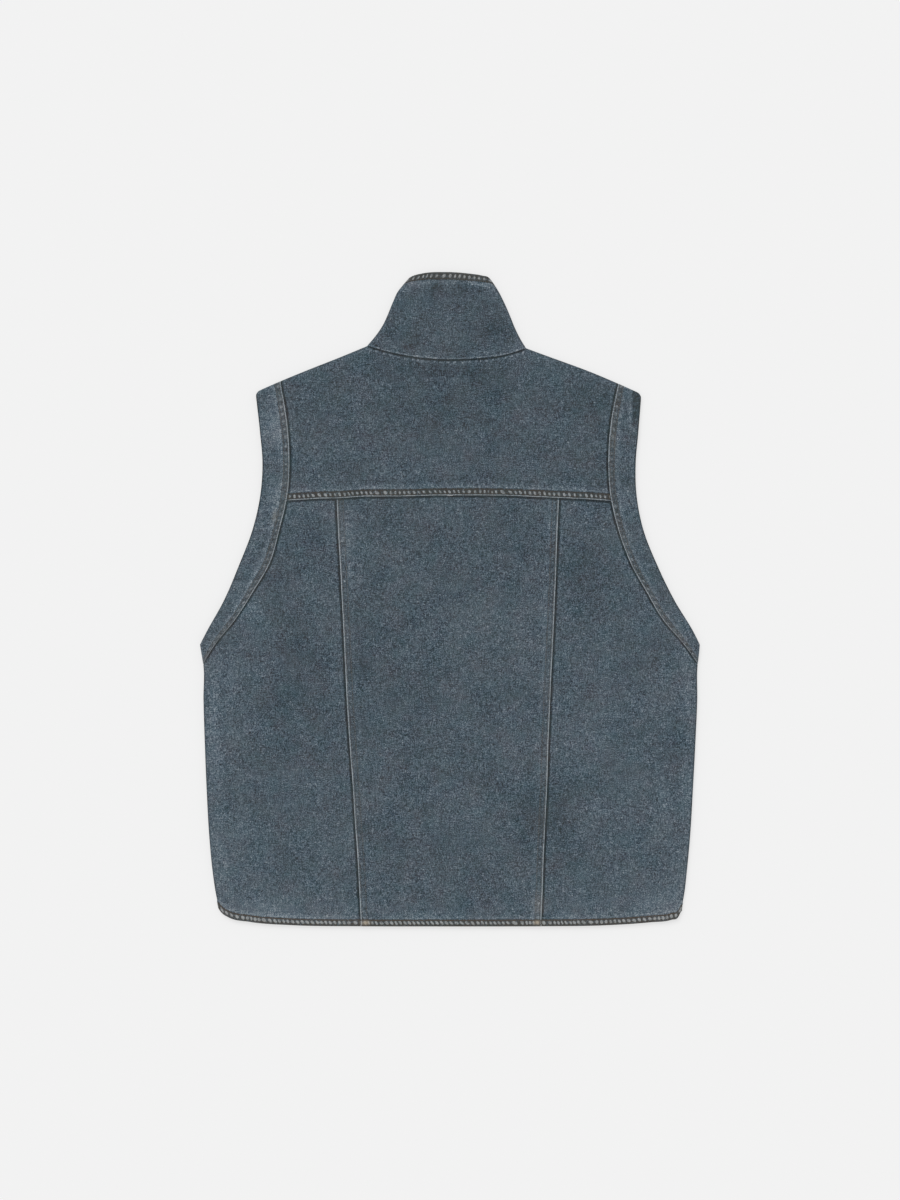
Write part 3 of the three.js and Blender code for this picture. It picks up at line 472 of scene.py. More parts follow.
YOKE_SEAM = seam_sizes(8.6, 0.9, (2.1, 7.0), 5.5, 20)
PRINCESS_SEAM = seam_sizes(8.5, 0.9, (1.9, 7.2), 6.2, 30)
BAND_SEAM = seam_sizes(7.6, 0.9, (2.0, 6.4), 7.5, 40)
HEM = seam_sizes(8.2, 0.8, (6.9,), 5.2, 50)
COLLAR_EDGE = seam_sizes(7.9, 0.7, (6.6,), 5.8, 60)
COLLAR_BASE = seam_sizes(5.5, 0.6, (), 6.5, 70)


def seam_ridge(seam, from_edge, along, pucker=PUCKER):
    """The height of a seam's ridge, and the wave of its puckers."""
    wave = puckers(along, from_edge, seam["pitch"], seam["seed"])
    return ridge(from_edge, seam["width"], seam["rise"], wave, seam["rows"], pucker), wave


# %% [markdown]
# ## From places to a mesh
# A panel is a grid. Each column is a mix of the panel's left and right edges plus a
# distance, and each row a mix of its bottom and top edges plus a distance, so the grid
# follows curved edges and can be fine beside a seam and coarser in the middle. Two such
# grids, the outer and the inner face, are closed round the rim into one thin shell.

# %% Grids and shells
FAR = 1.0  # a distance that is out of reach of any seam
FOLD_STEPS = FOLD_RADIUS * (1 - np.cos(np.radians([0, 12, 24, 36, 48, 62, 76, 90])))
GRID_ROUNDS = 30
CLOTH_CORNER = math.radians(50)  # edges sharper than this stay sharp
ATTRIBUTES = ("seams", "puckers", "marks")
vest_pieces = []


def spread(*stops):
    """Stations between stops. A stop is low share, high share, distance, and the most that
    a step may measure on the way to the next stop, with the length of that way."""
    stations = []
    for here, there in zip(stops, stops[1:]):
        steps = max(1, math.ceil(here[4] / here[3]))
        shares = np.arange(steps)[:, None] / steps
        stations.append(lerp(np.array(here[:3]), np.array(there[:3]), shares))
    stations.append(np.array([stops[-1][:3]]))
    return np.concatenate(stations)


def to_fold(*stops):
    """Stations between stops, and then round half of the fold at the high edge."""
    round_fold = [(0, 1, -step) for step in FOLD_STEPS[::-1]]
    return np.concatenate([spread(*stops, (0, 1, -FOLD_RADIUS))[:-1], round_fold])


def grid(left, right, bottom, top, columns, rows):
    """Places x and y of every row and column, found by going round from one to the other."""
    x = np.zeros((len(rows), len(columns)))
    y = np.zeros_like(x)
    for _ in range(GRID_ROUNDS):
        y = rows[:, None, 0] * bottom(x) + rows[:, None, 1] * top(x) + rows[:, None, 2]
        x = columns[:, 0] * left(y) + columns[:, 1] * right(y) + columns[:, 2]
    return x, y

# %% Meshes and shells
def fill_mesh(name, vertices, faces):
    """A mesh object from arrays of places and four-sided faces, turned to face outwards."""
    corner = vertices[faces]
    edge = corner[:, 1] - corner[:, 0], corner[:, 2] - corner[:, 0], corner[:, 3] - corner[:, 0]
    turned = np.cross(edge[0], edge[1]) + np.cross(edge[1], edge[2])
    if np.einsum("ij,ij->", corner[:, 0], turned) < 0:
        faces = faces[:, ::-1]
    mesh = bpy.data.meshes.new(name)
    mesh.vertices.add(len(vertices))
    mesh.vertices.foreach_set("co", vertices.astype(np.float32).ravel())
    mesh.loops.add(faces.size)
    mesh.loops.foreach_set("vertex_index", faces.astype(np.int32).ravel())
    mesh.polygons.add(len(faces))
    mesh.polygons.foreach_set("loop_start", np.arange(0, faces.size, 4, dtype=np.int32))
    mesh.update(calc_edges=True)
    mesh.shade_smooth()
    piece = bpy.data.objects.new(name, mesh)
    scene.collection.objects.link(piece)
    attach(piece, "vest")
    vest_pieces.append(piece)
    return piece


def shell(name, outer, inner, ring=False, **attributes):
    """A closed thin shell from an outer and an inner grid of places."""
    rows, across = outer.shape[:2]
    count = rows * across
    at = np.arange(count).reshape(rows, across)
    if ring:
        at = np.concatenate([at, at[:, :1]], axis=1)
    face = np.stack([at[:-1, :-1], at[:-1, 1:], at[1:, 1:], at[1:, :-1]], -1).reshape(-1, 4)
    loops = [at[0], at[-1, ::-1]] if ring else [
        np.concatenate([at[0], at[1:, -1], at[-1, -2::-1], at[-2::-1, 0]])
    ]
    rims = [np.stack([a[1:], a[:-1], a[:-1] + count, a[1:] + count], -1) for a in loops]
    faces = np.concatenate([face, face[:, ::-1] + count, *rims])
    vertices = np.concatenate([outer.reshape(-1, 3), inner.reshape(-1, 3)])
    piece = fill_mesh(name, vertices, faces)
    piece.data.set_sharp_from_angle(angle=CLOTH_CORNER)
    for key in ATTRIBUTES:
        values = np.stack([np.broadcast_to(v, outer.shape[:2]) for v in attributes[key]], -1)
        stored = piece.data.attributes.new(key, "FLOAT_VECTOR", "POINT")
        both = np.concatenate([values.reshape(-1, 3)] * 2)
        stored.data.foreach_set("vector", both.astype(np.float32).ravel())
    print(f"{name}: {2 * len(faces)} triangles")
    return piece

# %% The cut of a cloth
def grid_area(places):
    """Area of a grid of places, which is the flat area of the cloth cut for it."""
    down, across = places[1:, :-1] - places[:-1, :-1], places[:-1, 1:] - places[:-1, :-1]
    return float(np.linalg.norm(np.cross(down, across), axis=-1).sum())


def declare_sheet(node, area):
    """The piece stands for its node's solid, which is hidden."""
    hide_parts(node)


# %% [markdown]
# ## Marks of wear, and painted shade on the rolled tip
# Some wear is not even along a seam: the tan spots where a seam runs through the hem, paler
# stretches down the sides. Each is a soft spot, given in a table, that lightens, darkens or
# tans the cloth. The strip where the right shoulder tip rolls under is darkened with painted
# shade, as it turns away from the light.

# %% Soft spots
# centre x, y, half width, half height, turn in degrees, pale or, below zero, dark, and some tan
HEM_SPOTS = [
    (-92.5, -355.8, 4.0, 2.2, 0, 0.4, 0.75), (-85, -349, 7, 2.4, 0, -0.7),
    (95.5, -355.5, 3.6, 2.2, 0, 0.4, 0.6), (108, -350, 5, 2.6, 0, -0.6), (-105, -340, 20, 7, 0, 0.16),
    (97, -336, 6, 12, 0, 0.32, 0.1), (-200, -338, 66, 12, 0, 0.26), (200, -337, 56, 12, 0, 0.2),
    (-150, -352, 50, 6, 0, 0.2), (-225, -348, 22, 6, -6, 0.2), (0, -346, 230, 11, 0, 0.1),
]
COLLAR_SPOTS = [
    (-38, 285, 11, 10, 0, -0.36), (50, 300, 20, 20, 30, -0.12), (-67, 297, 5, 9, -30, -0.22),
    (45, 299, 15, 13, 20, -0.16), (16, 318, 11, 16, 10, -0.12), (-16, 344, 6, 7, 0, -0.6),
    (-29, 346, 8, 5, 20, 0.3), (13, 343, 5, 6, 0, -0.42), (-1, 348, 5, 4, 0, 0.3),
    (25, 347, 6, 5, 0, 0.2), (-45, 342, 5, 7, -30, 0.24), (41, 347, 5, 3, 30, 0.3),
    (31, 338, 7, 9, 0, -0.14), (-66, 281, 9, 4, -22, 0.3), (-30, 269, 24, 3.4, -4, 0.2),
    (36, 270, 22, 3.4, 6, 0.2), (16, 271, 5, 5, 0, -0.24), (68, 277, 7, 4, 24, 0.2),
    (-44, 258, 2.6, 2.4, 0, -0.4), (-47, 254, 2, 4, 10, 0.35), (-33, 256, 3, 5, -10, 0.2),
    (-62, 264, 8, 2.5, -14, 0.2),
]
YOKE_SPOTS = [
    (0, 214, 130, 34, 0, -0.15), (-8, 253, 60, 7, 0, -0.26), (31, 246, 14, 7, -12, -0.18),
    (-150, 170, 40, 22, 10, 0.12), (-34, 142, 38, 13, 0, 0.16), (92, 172, 22, 20, 30, -0.1),
    (168, 216, 11, 12, 0, -0.2), (-176, 140, 9, 8, 0, -0.18), (170, 145, 9, 9, 0, -0.16),
    (-90, 140, 16, 10, 0, -0.08), (-125, 108, 13, 5, 0, -0.3), (30, 116, 12, 5, 0, -0.2),
    (-70, 116, 14, 5, 0, -0.18),
]
BAND_SPOTS = [
    (-194, 186, 12, 15, 0, 0.42), (-191, 116, 9, 14, 8, 0.36), (-194, 218, 10, 10, 0, 0.12),
    (-190, 141, 8, 6, 0, -0.12), (198, 207, 2.4, 22, 2, 0.5), (186, 188, 9, 18, 0, 0.2),
    (192, 112, 8, 15, -8, 0.22), (-222, 30, 4, 34, -24, -0.14), (232, 0, 4, 30, 27, -0.16),
    (-256, -42, 10, 8, -40, -0.16), (262, -48, 8, 8, 40, -0.16), (-193, 92, 2.4, 8, -12, -0.1, 0.2),
    (-182, 138, 3, 10, 0, 0.2), (181, 176, 2.4, 16, 6, -0.1, 0.08), (-212, 52, 3, 14, -30, -0.2),
]
SIDE_SPOTS = [
    (-259, -105, 5.5, 48, -2, 0.34), (-256, -205, 7, 60, 2, 0.24), (-250, -300, 9, 44, 5, 0.24),
    (262, -100, 5, 46, 2, 0.28), (259, -200, 6, 60, -2, 0.16), (251, -305, 10, 38, -5, 0.2),
    (-240, -92, 9, 38, -14, 0.2), (-224, -16, 12, 30, -40, 0.14), (236, -14, 9, 34, 34, 0.16),
    (-226, -262, 32, 56, 0, 0.1), (216, -276, 40, 50, 0, 0.09), (228, -86, 18, 8, -5, 0.14),
    (-178, -32, 24, 30, 0, -0.13), (-190, 34, 12, 40, -8, -0.14), (-150, 68, 8, 22, 0, -0.16),
    (-176, -164, 22, 16, 12, -0.18), (-138, -186, 24, 16, 0, -0.12), (-172, -118, 40, 28, 0, -0.08),
    (134, 30, 20, 30, 0, -0.13), (170, -4, 40, 60, 10, -0.14), (166, -158, 16, 9, -30, 0.14),
    (124, -226, 15, 20, 0, -0.1), (114, -240, 26, 42, 0, -0.24), (165, 72, 24, 8, 0, 0.08),
    (-160, -70, 34, 110, 0, -0.13), (236, -330, 16, 14, 20, 0.22), (150, 40, 26, 40, 0, -0.1),
]
CENTRE_SPOTS = [
    (-113, 66, 9, 30, 3, 0.34), (-106, 16, 8, 9, 0, 0.16), (-82, 20, 14, 26, 0, -0.1),
    (-106, -74, 20, 7, 0, -0.18), (-78, -86, 30, 20, 0, -0.1), (-110, -100, 7, 7, 0, 0.26),
    (36, -200, 28, 8, -4, -0.16), (94, -242, 16, 14, 0, -0.18), (-98, -222, 6, 20, 0, 0.16),
    (-96, -250, 8, 8, 0, -0.2), (-28, -142, 24, 14, 20, 0.08), (-8, -270, 26, 18, 0, -0.07),
    (112, 84, 7, 14, 0, 0.2), (110, -25, 5, 18, 0, 0.2), (104, -92, 6, 12, 0, 0.18),
    (112, 0, 5, 7, 0, -0.2), (102, -186, 6, 10, 0, 0.18), (30, -20, 36, 24, 0, 0.06),
    (0, 62, 90, 34, 0, -0.08),
]
SPOTS = HEM_SPOTS + COLLAR_SPOTS + YOKE_SPOTS + BAND_SPOTS + SIDE_SPOTS + CENTRE_SPOTS

# %% Marks of the fronts, the creases, and painted shade on the rolled strip
# the fronts' own marks, on the same layout
FRONT_SPOTS = [
    (-258, -110, 7, 60, -2, 0.34), (-254, -250, 8, 60, 3, 0.26), (259, -120, 7, 60, 2, 0.3),
    (255, -260, 8, 56, -3, 0.22), (-120, 60, 40, 60, 20, 0.12), (118, 48, 44, 56, -16, 0.12),
    (-150, 196, 30, 14, -24, 0.16), (146, 194, 30, 14, 24, 0.14), (-70, -140, 26, 60, 6, 0.1),
    (84, -170, 24, 54, -8, 0.1), (-30, 150, 12, 40, 0, -0.14), (32, 140, 12, 44, 0, -0.12),
    (-190, -30, 24, 36, 10, -0.14), (186, -60, 30, 30, 0, -0.14), (-110, -300, 40, 14, 0, -0.12),
    (150, -310, 46, 12, 0, 0.12), (-40, -340, 30, 8, 0, 0.14),
]
SPOT_STRENGTH = 1.05
CREASE_TONE = 0.4  # how much paler the top of a crease is made, and how much darker a trough, for each millimetre of its rise
# the strip along the right shoulder's tip that has rolled under: it drops a little, and painted shade darkens
# it where it turns away from the light
STRIP_X, STRIP_Y, STRIP_PAINTED_SHADE, STRIP_DROP = 200.4 * MM, 184 * MM, 0.8, 1.0 * MM
STRIP_FADE_X, STRIP_FADE_Y = 1.6 * MM, 16 * MM


def rolled_strip(x, y):
    """How far a place belongs to the rolled strip, from 0 to 1."""
    return smooth((x - STRIP_X) / STRIP_FADE_X) * smooth((y - STRIP_Y) / STRIP_FADE_Y)


def marks_at(x, y, spots=SPOTS):
    """Pale, dark and tan at each place. The dark also holds painted shade on the rolled strip."""
    crease = CREASE_TONE / MM * folds_at(x, y, CREASES)
    total = np.stack([np.maximum(crease, 0), np.maximum(-crease, 0), np.zeros(x.shape)])
    for spot_x, spot_y, width, height, turn, tone, *tan in spots:
        along, across = within(x, y, spot_x, spot_y, turn, width, height)
        amounts = np.array([max(tone, 0), max(-tone, 0), sum(tan)])
        total += SPOT_STRENGTH * np.exp(-(along**2) - across**2) * amounts[:, None, None]
    # painted shade on the rolled strip, which turns away from the light
    total[1] += STRIP_PAINTED_SHADE * rolled_strip(x, y)
    return total


# %% [markdown]
# ## The back panels
# The yoke laps over the panels below it, and the centre panel laps over the side panels, so
# their edges stand proud. The hem is turned up along the bottom of all three. Each panel is
# one grid, one relief and one shell.

# %% What the back panels share
DENIM = 1.4 * MM
SEAM = 0.3 * MM  # the gap between two pieces that meet at a seam
LAYER_GAP = SEAM / 6  # at a fold each layer ends this far from the middle
FINE, MEDIUM = 0.95 * MM, 2.6 * MM
NARROWER = 1.15  # the painted shade in the neck seam's groove is this much narrower than in the others
NECK_PUCKERS, SIDE_PUCKERS = (7 * MM, 80), (9 * MM, 90)  # pitch and seed where no ridge is


def from_band(x, y):
    """Distance in from the armhole band's seam, which ends at the underarm."""
    return np.where(y > UNDERARM_SEAM_Y, band_seam_x(y, x) - np.abs(x), FAR)


def back_outline(x, y):
    """Distance in from the nearest fold or open edge in the silhouette."""
    from_side, from_shoulder, from_collar = outline_distance(x, y)
    return np.minimum(from_side, np.maximum(from_shoulder, from_collar))


def seam_edges(seam_x):
    """The left and right edges of a panel that lies between a seam on either hand."""
    return [lambda y, hand=hand: hand * (seam_x(y, hand) - SEAM / 2) for hand in (LEFT, RIGHT)]


def back_panel(name, node, x, y, relief, seams, waves):
    """A panel of the back on its grid of places, with its relief and its stored values."""
    outer, inner, _ = cloth(x, y, 1, DENIM, relief, LAYER_GAP)
    piece = shell(name, outer, inner, seams=seams, puckers=waves, marks=marks_at(x, y))
    declare_sheet(node, grid_area(outer))
    return piece

# %% The yoke
def yoke_relief(x, y):
    height, wave = seam_ridge(YOKE_SEAM, y - yoke_y(x), x)
    return height + groove(from_band(x, y)), wave


def make_yoke():
    on_neck = lambda x: np.abs(x) < neck_x(x)
    left_neck, right_neck = -float(neck_x(LEFT)), float(neck_x(RIGHT))
    x, y = grid(
        *seam_edges(band_seam_x),
        lambda x: yoke_y(x) + SEAM / 2,
        lambda x: np.where(on_neck(x), neck_back_y(x) - SEAM / 2, shoulder_y(x)),
        spread((1, 0, 0, FINE, 0.096), (0, 0, left_neck, FINE, 0.175), (0, 0, right_neck, FINE, 0.101),
               (0, 1, 0)),
        to_fold((1, 0, 0, 0.85 * MM, 13.6 * MM), (1, 0, 13.6 * MM, MEDIUM, 0.146)),
    )
    relief, wave = yoke_relief(x, y)
    from_neck = np.where(on_neck(x), neck_back_y(x) - y, FAR)
    return back_panel(
        "yoke_cloth", "back_yoke", x, y, relief,
        (y - yoke_y(x), from_neck, np.minimum(from_band(x, y), NARROWER * from_neck)),
        (wave, puckers(x, from_neck, *NECK_PUCKERS), np.maximum(back_outline(x, y), 0)),
    )


yoke = make_yoke()

# %% The centre back panel
PANEL_ROWS = spread(
    (1, 0, 0, 0.9 * MM, 9 * MM), (1, 0, 9 * MM, 1.5 * MM, 6 * MM), (1, 0, 15 * MM, MEDIUM, 0.455),
    (0, 1, -3 * MM, 1 * MM, 3 * MM), (0, 1, 0),
)


def hem_relief(x, y):
    return seam_ridge(HEM, y - hem_y(x), x)


def princess_relief(x, y):
    return seam_ridge(PRINCESS_SEAM, princess_x(y, x) - np.abs(x), y, pucker=0.45 * PUCKER)


def centre_relief(x, y):
    hem, hem_wave = hem_relief(x, y)
    princess, princess_wave = princess_relief(x, y)
    return np.maximum(hem, princess) + groove(yoke_y(x) - y), hem_wave, princess_wave


def make_centre():
    x, y = grid(
        *seam_edges(princess_x),
        hem_y,
        lambda x: yoke_y(x) - SEAM / 2,
        spread((1, 0, 0, 0.85 * MM, 10 * MM), (1, 0, 10 * MM, 1.15 * MM, 0.202),
               (0, 1, -10 * MM, 0.85 * MM, 10 * MM), (0, 1, 0)),
        PANEL_ROWS,
    )
    relief, hem_wave, princess_wave = centre_relief(x, y)
    above_hem = y - hem_y(x)
    return back_panel(
        "centre_back_cloth", "back_centre", x, y, relief,
        (above_hem, princess_x(y, x) - np.abs(x), yoke_y(x) - y),
        (hem_wave, princess_wave, np.maximum(above_hem, 0)),
    )


centre = make_centre()

# %% The side back panels
def panel_outer_x(y, hand):
    """Where a body panel ends: on the band's seam above the underarm, at the side fold below."""
    above = band_seam_x(np.minimum(y, tip_seam_y[hand]), hand) - 0.6 * SEAM
    below = side_x(np.maximum(y, SIDE_LOW_Y), hand)
    return hand * np.where(y > UNDERARM_SEAM_Y, above, below)


def side_relief(x, y):
    hem, wave = hem_relief(x, y)
    beside_others = (np.abs(x) - princess_x(y, x), yoke_y(x) - y, from_band(x, y))
    return hem + sum(groove(distance) for distance in beside_others), wave


def side_panel_grid(hand, inner_x, bottom, top, columns, rows):
    """The grid of a panel from an inner edge out to the vest's side. The columns are those of
    the right hand, and are turned round for the left."""
    outer_x = lambda y: panel_outer_x(y, hand)
    if hand == RIGHT:
        return grid(inner_x, outer_x, bottom, top, columns, rows)
    return grid(outer_x, inner_x, bottom, top, columns[::-1, [1, 0, 2]] * (1, 1, -1), rows)


def make_side(hand, word):
    x, y = side_panel_grid(
        hand, lambda y: hand * (princess_x(y, hand) + SEAM / 2), hem_y, lambda x: yoke_y(x) - SEAM / 2,
        to_fold((1, 0, 0, 1.3 * MM, 0.152)), PANEL_ROWS,
    )
    relief, wave = side_relief(x, y)
    above_hem, from_side = y - hem_y(x), side_x(y, x) - np.abs(x)
    beside = np.minimum(np.abs(x) - princess_x(y, x), yoke_y(x) - y)
    return back_panel(
        f"side_back_cloth_{word}", f"back_side_{word}", x, y, relief,
        (above_hem, from_side, np.minimum(beside, from_band(x, y))),
        (wave, puckers(y, from_side, *SIDE_PUCKERS), np.maximum(np.minimum(from_side, above_hem), 0)),
    )


sides = [make_side(hand, word) for hand, word in HANDS]

# %% [markdown]
# ## The fronts
# The fronts lie face down under the back. Their faces are flat where they rest, but for a
# hair of clearance and a faint waviness, and they carry the zip. Nothing of them shows from
# above, so their grid is coarser.

# %% The fronts
FRONT_INSET = 1.5 * MM  # the front's open edges lie this far inside the back's
COARSE = 4 * MM
FRONT_HEM_PUCKERS, ZIP_PUCKERS = (HEM["pitch"], 55), (PRINCESS_SEAM["pitch"], 35)


def make_front(hand, word):
    neck = float(neck_x(hand))
    x, y = side_panel_grid(
        hand, lambda y: np.full_like(y, hand * ZIP_EDGE), lambda x: hem_y(x) + FRONT_INSET,
        lambda x: np.where(np.abs(x) < neck, neck_front_y(x) - SEAM / 2, shoulder_y(x)),
        to_fold((1, 0, 0, COARSE, 0.085), (0, 0, neck, COARSE, 0.17)), to_fold((1, 0, 0, COARSE, 0.63)),
    )
    outer, inner, _ = cloth(x, y, -1, DENIM, 0.0, LAYER_GAP)
    from_neck = np.where(np.abs(x) < neck, neck_front_y(x) - y, FAR)
    hem_wave, zip_wave = puckers(x, y, *FRONT_HEM_PUCKERS), puckers(y, x, *ZIP_PUCKERS)
    piece = shell(
        f"front_cloth_{word}", outer, inner,
        seams=(y - hem_y(x) - FRONT_INSET, np.abs(x) - ZIP_EDGE, np.minimum(from_band(x, y), from_neck)),
        puckers=(hem_wave, zip_wave, np.maximum(side_x(y, x) - np.abs(x), 0)),
        marks=marks_at(x, y, FRONT_SPOTS),
    )
    declare_sheet(f"front_{word}", grid_area(outer))
    return piece


fronts = [make_front(hand, word) for hand, word in HANDS]

# %% [markdown]
# ## The armhole bands
# Each armhole is faced with a band of cloth, a ring that runs down the back, under the arm,
# up the front and over the shoulder. Its seam with the body is felled towards the band and
# topstitched. The right band's shoulder tip has rolled under along its outer edge.

# %% The armhole bands
BAND_WIDTH = 30 * MM
EDGE_STEEPNESS, SEAM_STEEPNESS = 1.94, 1.59  # rise of the edge and the seam from the side fold
INSET_FADE = 0.12
TIP_ROUNDING = 1.7 * MM
EDGE_ROLL, ROLL_IN, ROLL_WIDTH = 0.35 * MM, 1.6 * MM, 1.4 * MM  # the swelling along the folded edge
EDGE_FALL, FALL_WIDTH = 0.25 * MM, 0.8 * MM
ARMHOLE_PUCKERS = (8 * MM, 45)


def band_ring():
    """Stations round a band: share of the way down, distances from the top and bottom
    folds, and which way the cloth faces."""
    down = np.linspace(0, 1, 285)[1:-1]
    zero, top = np.zeros_like(down), FOLD_STEPS / SHOULDER_OUT[1]
    low = FOLD_STEPS[::-1]
    p = np.concatenate([np.zeros_like(top), down, np.ones_like(low)])
    at_top = np.concatenate([top, zero, np.zeros_like(low)])
    at_low = np.concatenate([np.zeros_like(top), zero, low])
    back = np.stack([p, at_top, at_low, np.ones_like(p)])
    front = back[:, -2:0:-1].copy()
    front[3] = -1
    return np.concatenate([back, front], axis=1)

# %% A band as a wall of cloth
def both_faces(x, y, facing, thick, relief):
    """Outer and inner places and normals of a wall that faces up in part and down in part."""
    faces_up = (facing > 0)[..., None]
    up, down = cloth(x, y, 1, thick, relief), cloth(x, y, -1, thick, relief)
    return [np.where(faces_up, high, low) for high, low in zip(up, down)]


def shares_between(stops, steps):
    """Shares that run from stop to stop with so many even steps between."""
    at = np.cumsum([0, *steps])
    return np.interp(np.arange(at[-1] + 1), at, stops)


def band_cloth(hand, ring, w):
    """The band's outer and inner places at ring stations and shares w from edge to seam."""
    p, at_top, at_low, facing = ring
    edge_y = lerp(tip_edge_y[hand] - at_top, UNDERARM_EDGE_Y + at_low * EDGE_STEEPNESS, p)
    seam_y = lerp(tip_seam_y[hand] - at_top, UNDERARM_SEAM_Y + at_low * SEAM_STEEPNESS, p)
    inset = np.where(facing < 0, FRONT_INSET * smooth(np.minimum(p, 1 - p) / INSET_FADE), 0)
    x = hand * lerp(armhole_x(edge_y, hand) - inset, band_seam_x(seam_y, hand) + SEAM / 4, w)
    y = np.where(p == 0, shoulder_y(x) - at_top, lerp(edge_y, seam_y, w))
    from_seam, from_edge = (1 - w) * BAND_WIDTH, w * BAND_WIDTH
    raised, wave = seam_ridge(BAND_SEAM, from_seam, y, pucker=0.5 * PUCKER)
    rolled = EDGE_ROLL * bell((from_edge - ROLL_IN) / ROLL_WIDTH) - EDGE_FALL * bell(from_edge / FALL_WIDTH)
    from_side, from_shoulder, _ = outline_distance(x, y)
    flat = smooth(np.minimum(from_side, from_shoulder) / FOLD_RADIUS)
    relief = np.where(facing > 0, (raised + rolled) * flat, 0)
    outer, inner, normal = both_faces(x, y, facing, DENIM, relief)
    pulled_in = TIP_ROUNDING * np.exp(-(from_edge + np.maximum(from_shoulder, 0)) / TIP_ROUNDING)
    drop = STRIP_DROP * rolled_strip(x, y) * flat * (facing > 0)
    for places, share in ((outer, 1.0), (inner, 0.6)):
        places -= np.stack([hand * pulled_in, pulled_in, share * drop], -1)
    return outer, inner, normal, (x, y, from_edge, from_seam, wave)

# %% Both bands
def make_band(hand, word):
    w = shares_between((0, 0.4, 0.66, 1), (12, 4, 12))[:, None]
    ring = band_ring()[:, None, :]
    ring = np.broadcast_to(ring, (4, len(w), ring.shape[2]))
    outer, inner, _, (x, y, from_edge, from_seam, wave) = band_cloth(hand, ring, w)
    piece = shell(
        f"band_cloth_{word}", outer, inner, ring=True,
        seams=(from_edge, from_seam, FAR), puckers=(puckers(y, x, *ARMHOLE_PUCKERS), wave, from_edge),
        marks=marks_at(x, y) * (ring[3] > 0),
    )
    middle = outer[len(w) // 2]
    around = float(np.linalg.norm(np.roll(middle, -1, axis=0) - middle, axis=1).sum())
    declare_sheet(f"armhole_band_{word}", grid_area(outer))
    return piece


bands = [make_band(hand, word) for hand, word in HANDS]

# %% [markdown]
# ## The stand collar
# The collar is one strip of stiffened denim. It runs from the centre front round the left
# fold, across the back and round the right fold. Laid flat, its back half shows whole, with
# a topstitched top edge and a plain neck seam that rolls a little at its base.

# %% The collar
COLLAR_WALL = 2.0 * MM
COLLAR_HEIGHT = COLLAR_CORNER_Y - NECK_CENTRE_Y


def collar_stations(share, facing, hand, inset=0.0):
    """Stations round the collar: share across, distance in from the fold, facing and hand."""
    return np.stack(np.broadcast_arrays(share, inset, facing, hand))


def collar_half(hand):
    """Stations from the centre front to the fold, and round it on to the back."""
    width = float(neck_x(hand)) - ZIP_EDGE
    share = np.linspace(1, FOLD_RADIUS / width, math.ceil(width / (2 * MM)))[:-1]
    return np.concatenate([
        collar_stations(share, -1, hand), collar_stations(0, -1, hand, FOLD_STEPS[::-1]),
        collar_stations(0, 1, hand, FOLD_STEPS[1:]),
    ], axis=1)


def collar_cloth(station, up):
    """The collar's outer and inner places at stations round it and shares up its height."""
    share, inset, facing, hand = station

    def across(height):
        start = hand * collar_fold_x(height, hand)
        end = np.where(facing > 0, -hand * collar_fold_x(height, -hand), hand * ZIP_EDGE)
        return lerp(start, end, share) - hand * inset

    x, x_base, x_top = across(up), across(0 * up), across(0 * up + 1)
    base = np.where(facing > 0, neck_back_y(x_base), neck_front_y(x_base))
    top = np.where(facing > 0, collar_top_y(x_top), collar_front_top_y(x_top))
    y = lerp(base + SEAM / 2, top, up)
    from_top, from_base = (1 - up) * COLLAR_HEIGHT + 0 * x, up * COLLAR_HEIGHT + 0 * x
    edge, wave = seam_ridge(COLLAR_EDGE, from_top, x)
    roll, roll_wave = seam_ridge(COLLAR_BASE, from_base, x, pucker=0.25 * PUCKER)
    _, _, from_fold = outline_distance(x, y)
    relief = np.where(facing > 0, (edge + roll) * smooth(from_fold / FOLD_RADIUS), 0)
    outer, inner, normal = both_faces(x, y, facing, COLLAR_WALL, relief)
    return outer, inner, normal, (x, y, from_fold, from_top, from_base, wave, roll_wave)

# %% The whole collar
def make_collar():
    width = float(neck_x(LEFT) + neck_x(RIGHT))
    share = np.linspace(FOLD_RADIUS / width, 1 - FOLD_RADIUS / width, 186)[1:-1]
    ring = [collar_half(LEFT), collar_stations(share, 1, LEFT), collar_half(RIGHT)[:, ::-1]]
    stations = np.concatenate(ring, axis=1)[:, None, :]
    ups = shares_between((0, 0.1, 0.86, 1), (9, 29, 13))[:, None]
    stations = np.broadcast_to(stations, (4, len(ups), stations.shape[2]))
    outer, inner, _, values = collar_cloth(stations, ups)
    x, y, from_fold, from_top, from_base, wave, roll_wave = values
    piece = shell(
        "collar_cloth", outer, inner,
        seams=(from_top, from_base, FAR),
        puckers=(wave, roll_wave, np.maximum(np.minimum(from_fold, from_top), 0)),
        marks=marks_at(x, y) * (stations[2] > 0),
    )
    declare_sheet("collar", grid_area(outer))
    return piece


collar = make_collar()

# %% [markdown]
# ## Topstitching
# Thick thread, faded from tobacco brown, holds every ridge. Each stitch is a short bent
# tube that dips into the cloth at both ends. A row of stitches follows a dense line of
# places on the cloth's own surface, so it rides over the puckers and sits in its dip. All
# the stitches of one seam are one mesh.

# %% Rows of stitches
STITCH_PITCH = 3.0 * MM
THREAD_RADIUS = 0.27 * MM
STITCH_KNOTS = np.array([0.08, 0.3, 0.7, 0.92])  # shares of the pitch
STITCH_HEIGHTS = np.array([-0.30, 0.06, 0.06, -0.30]) * MM
THREAD_SIDES = 6


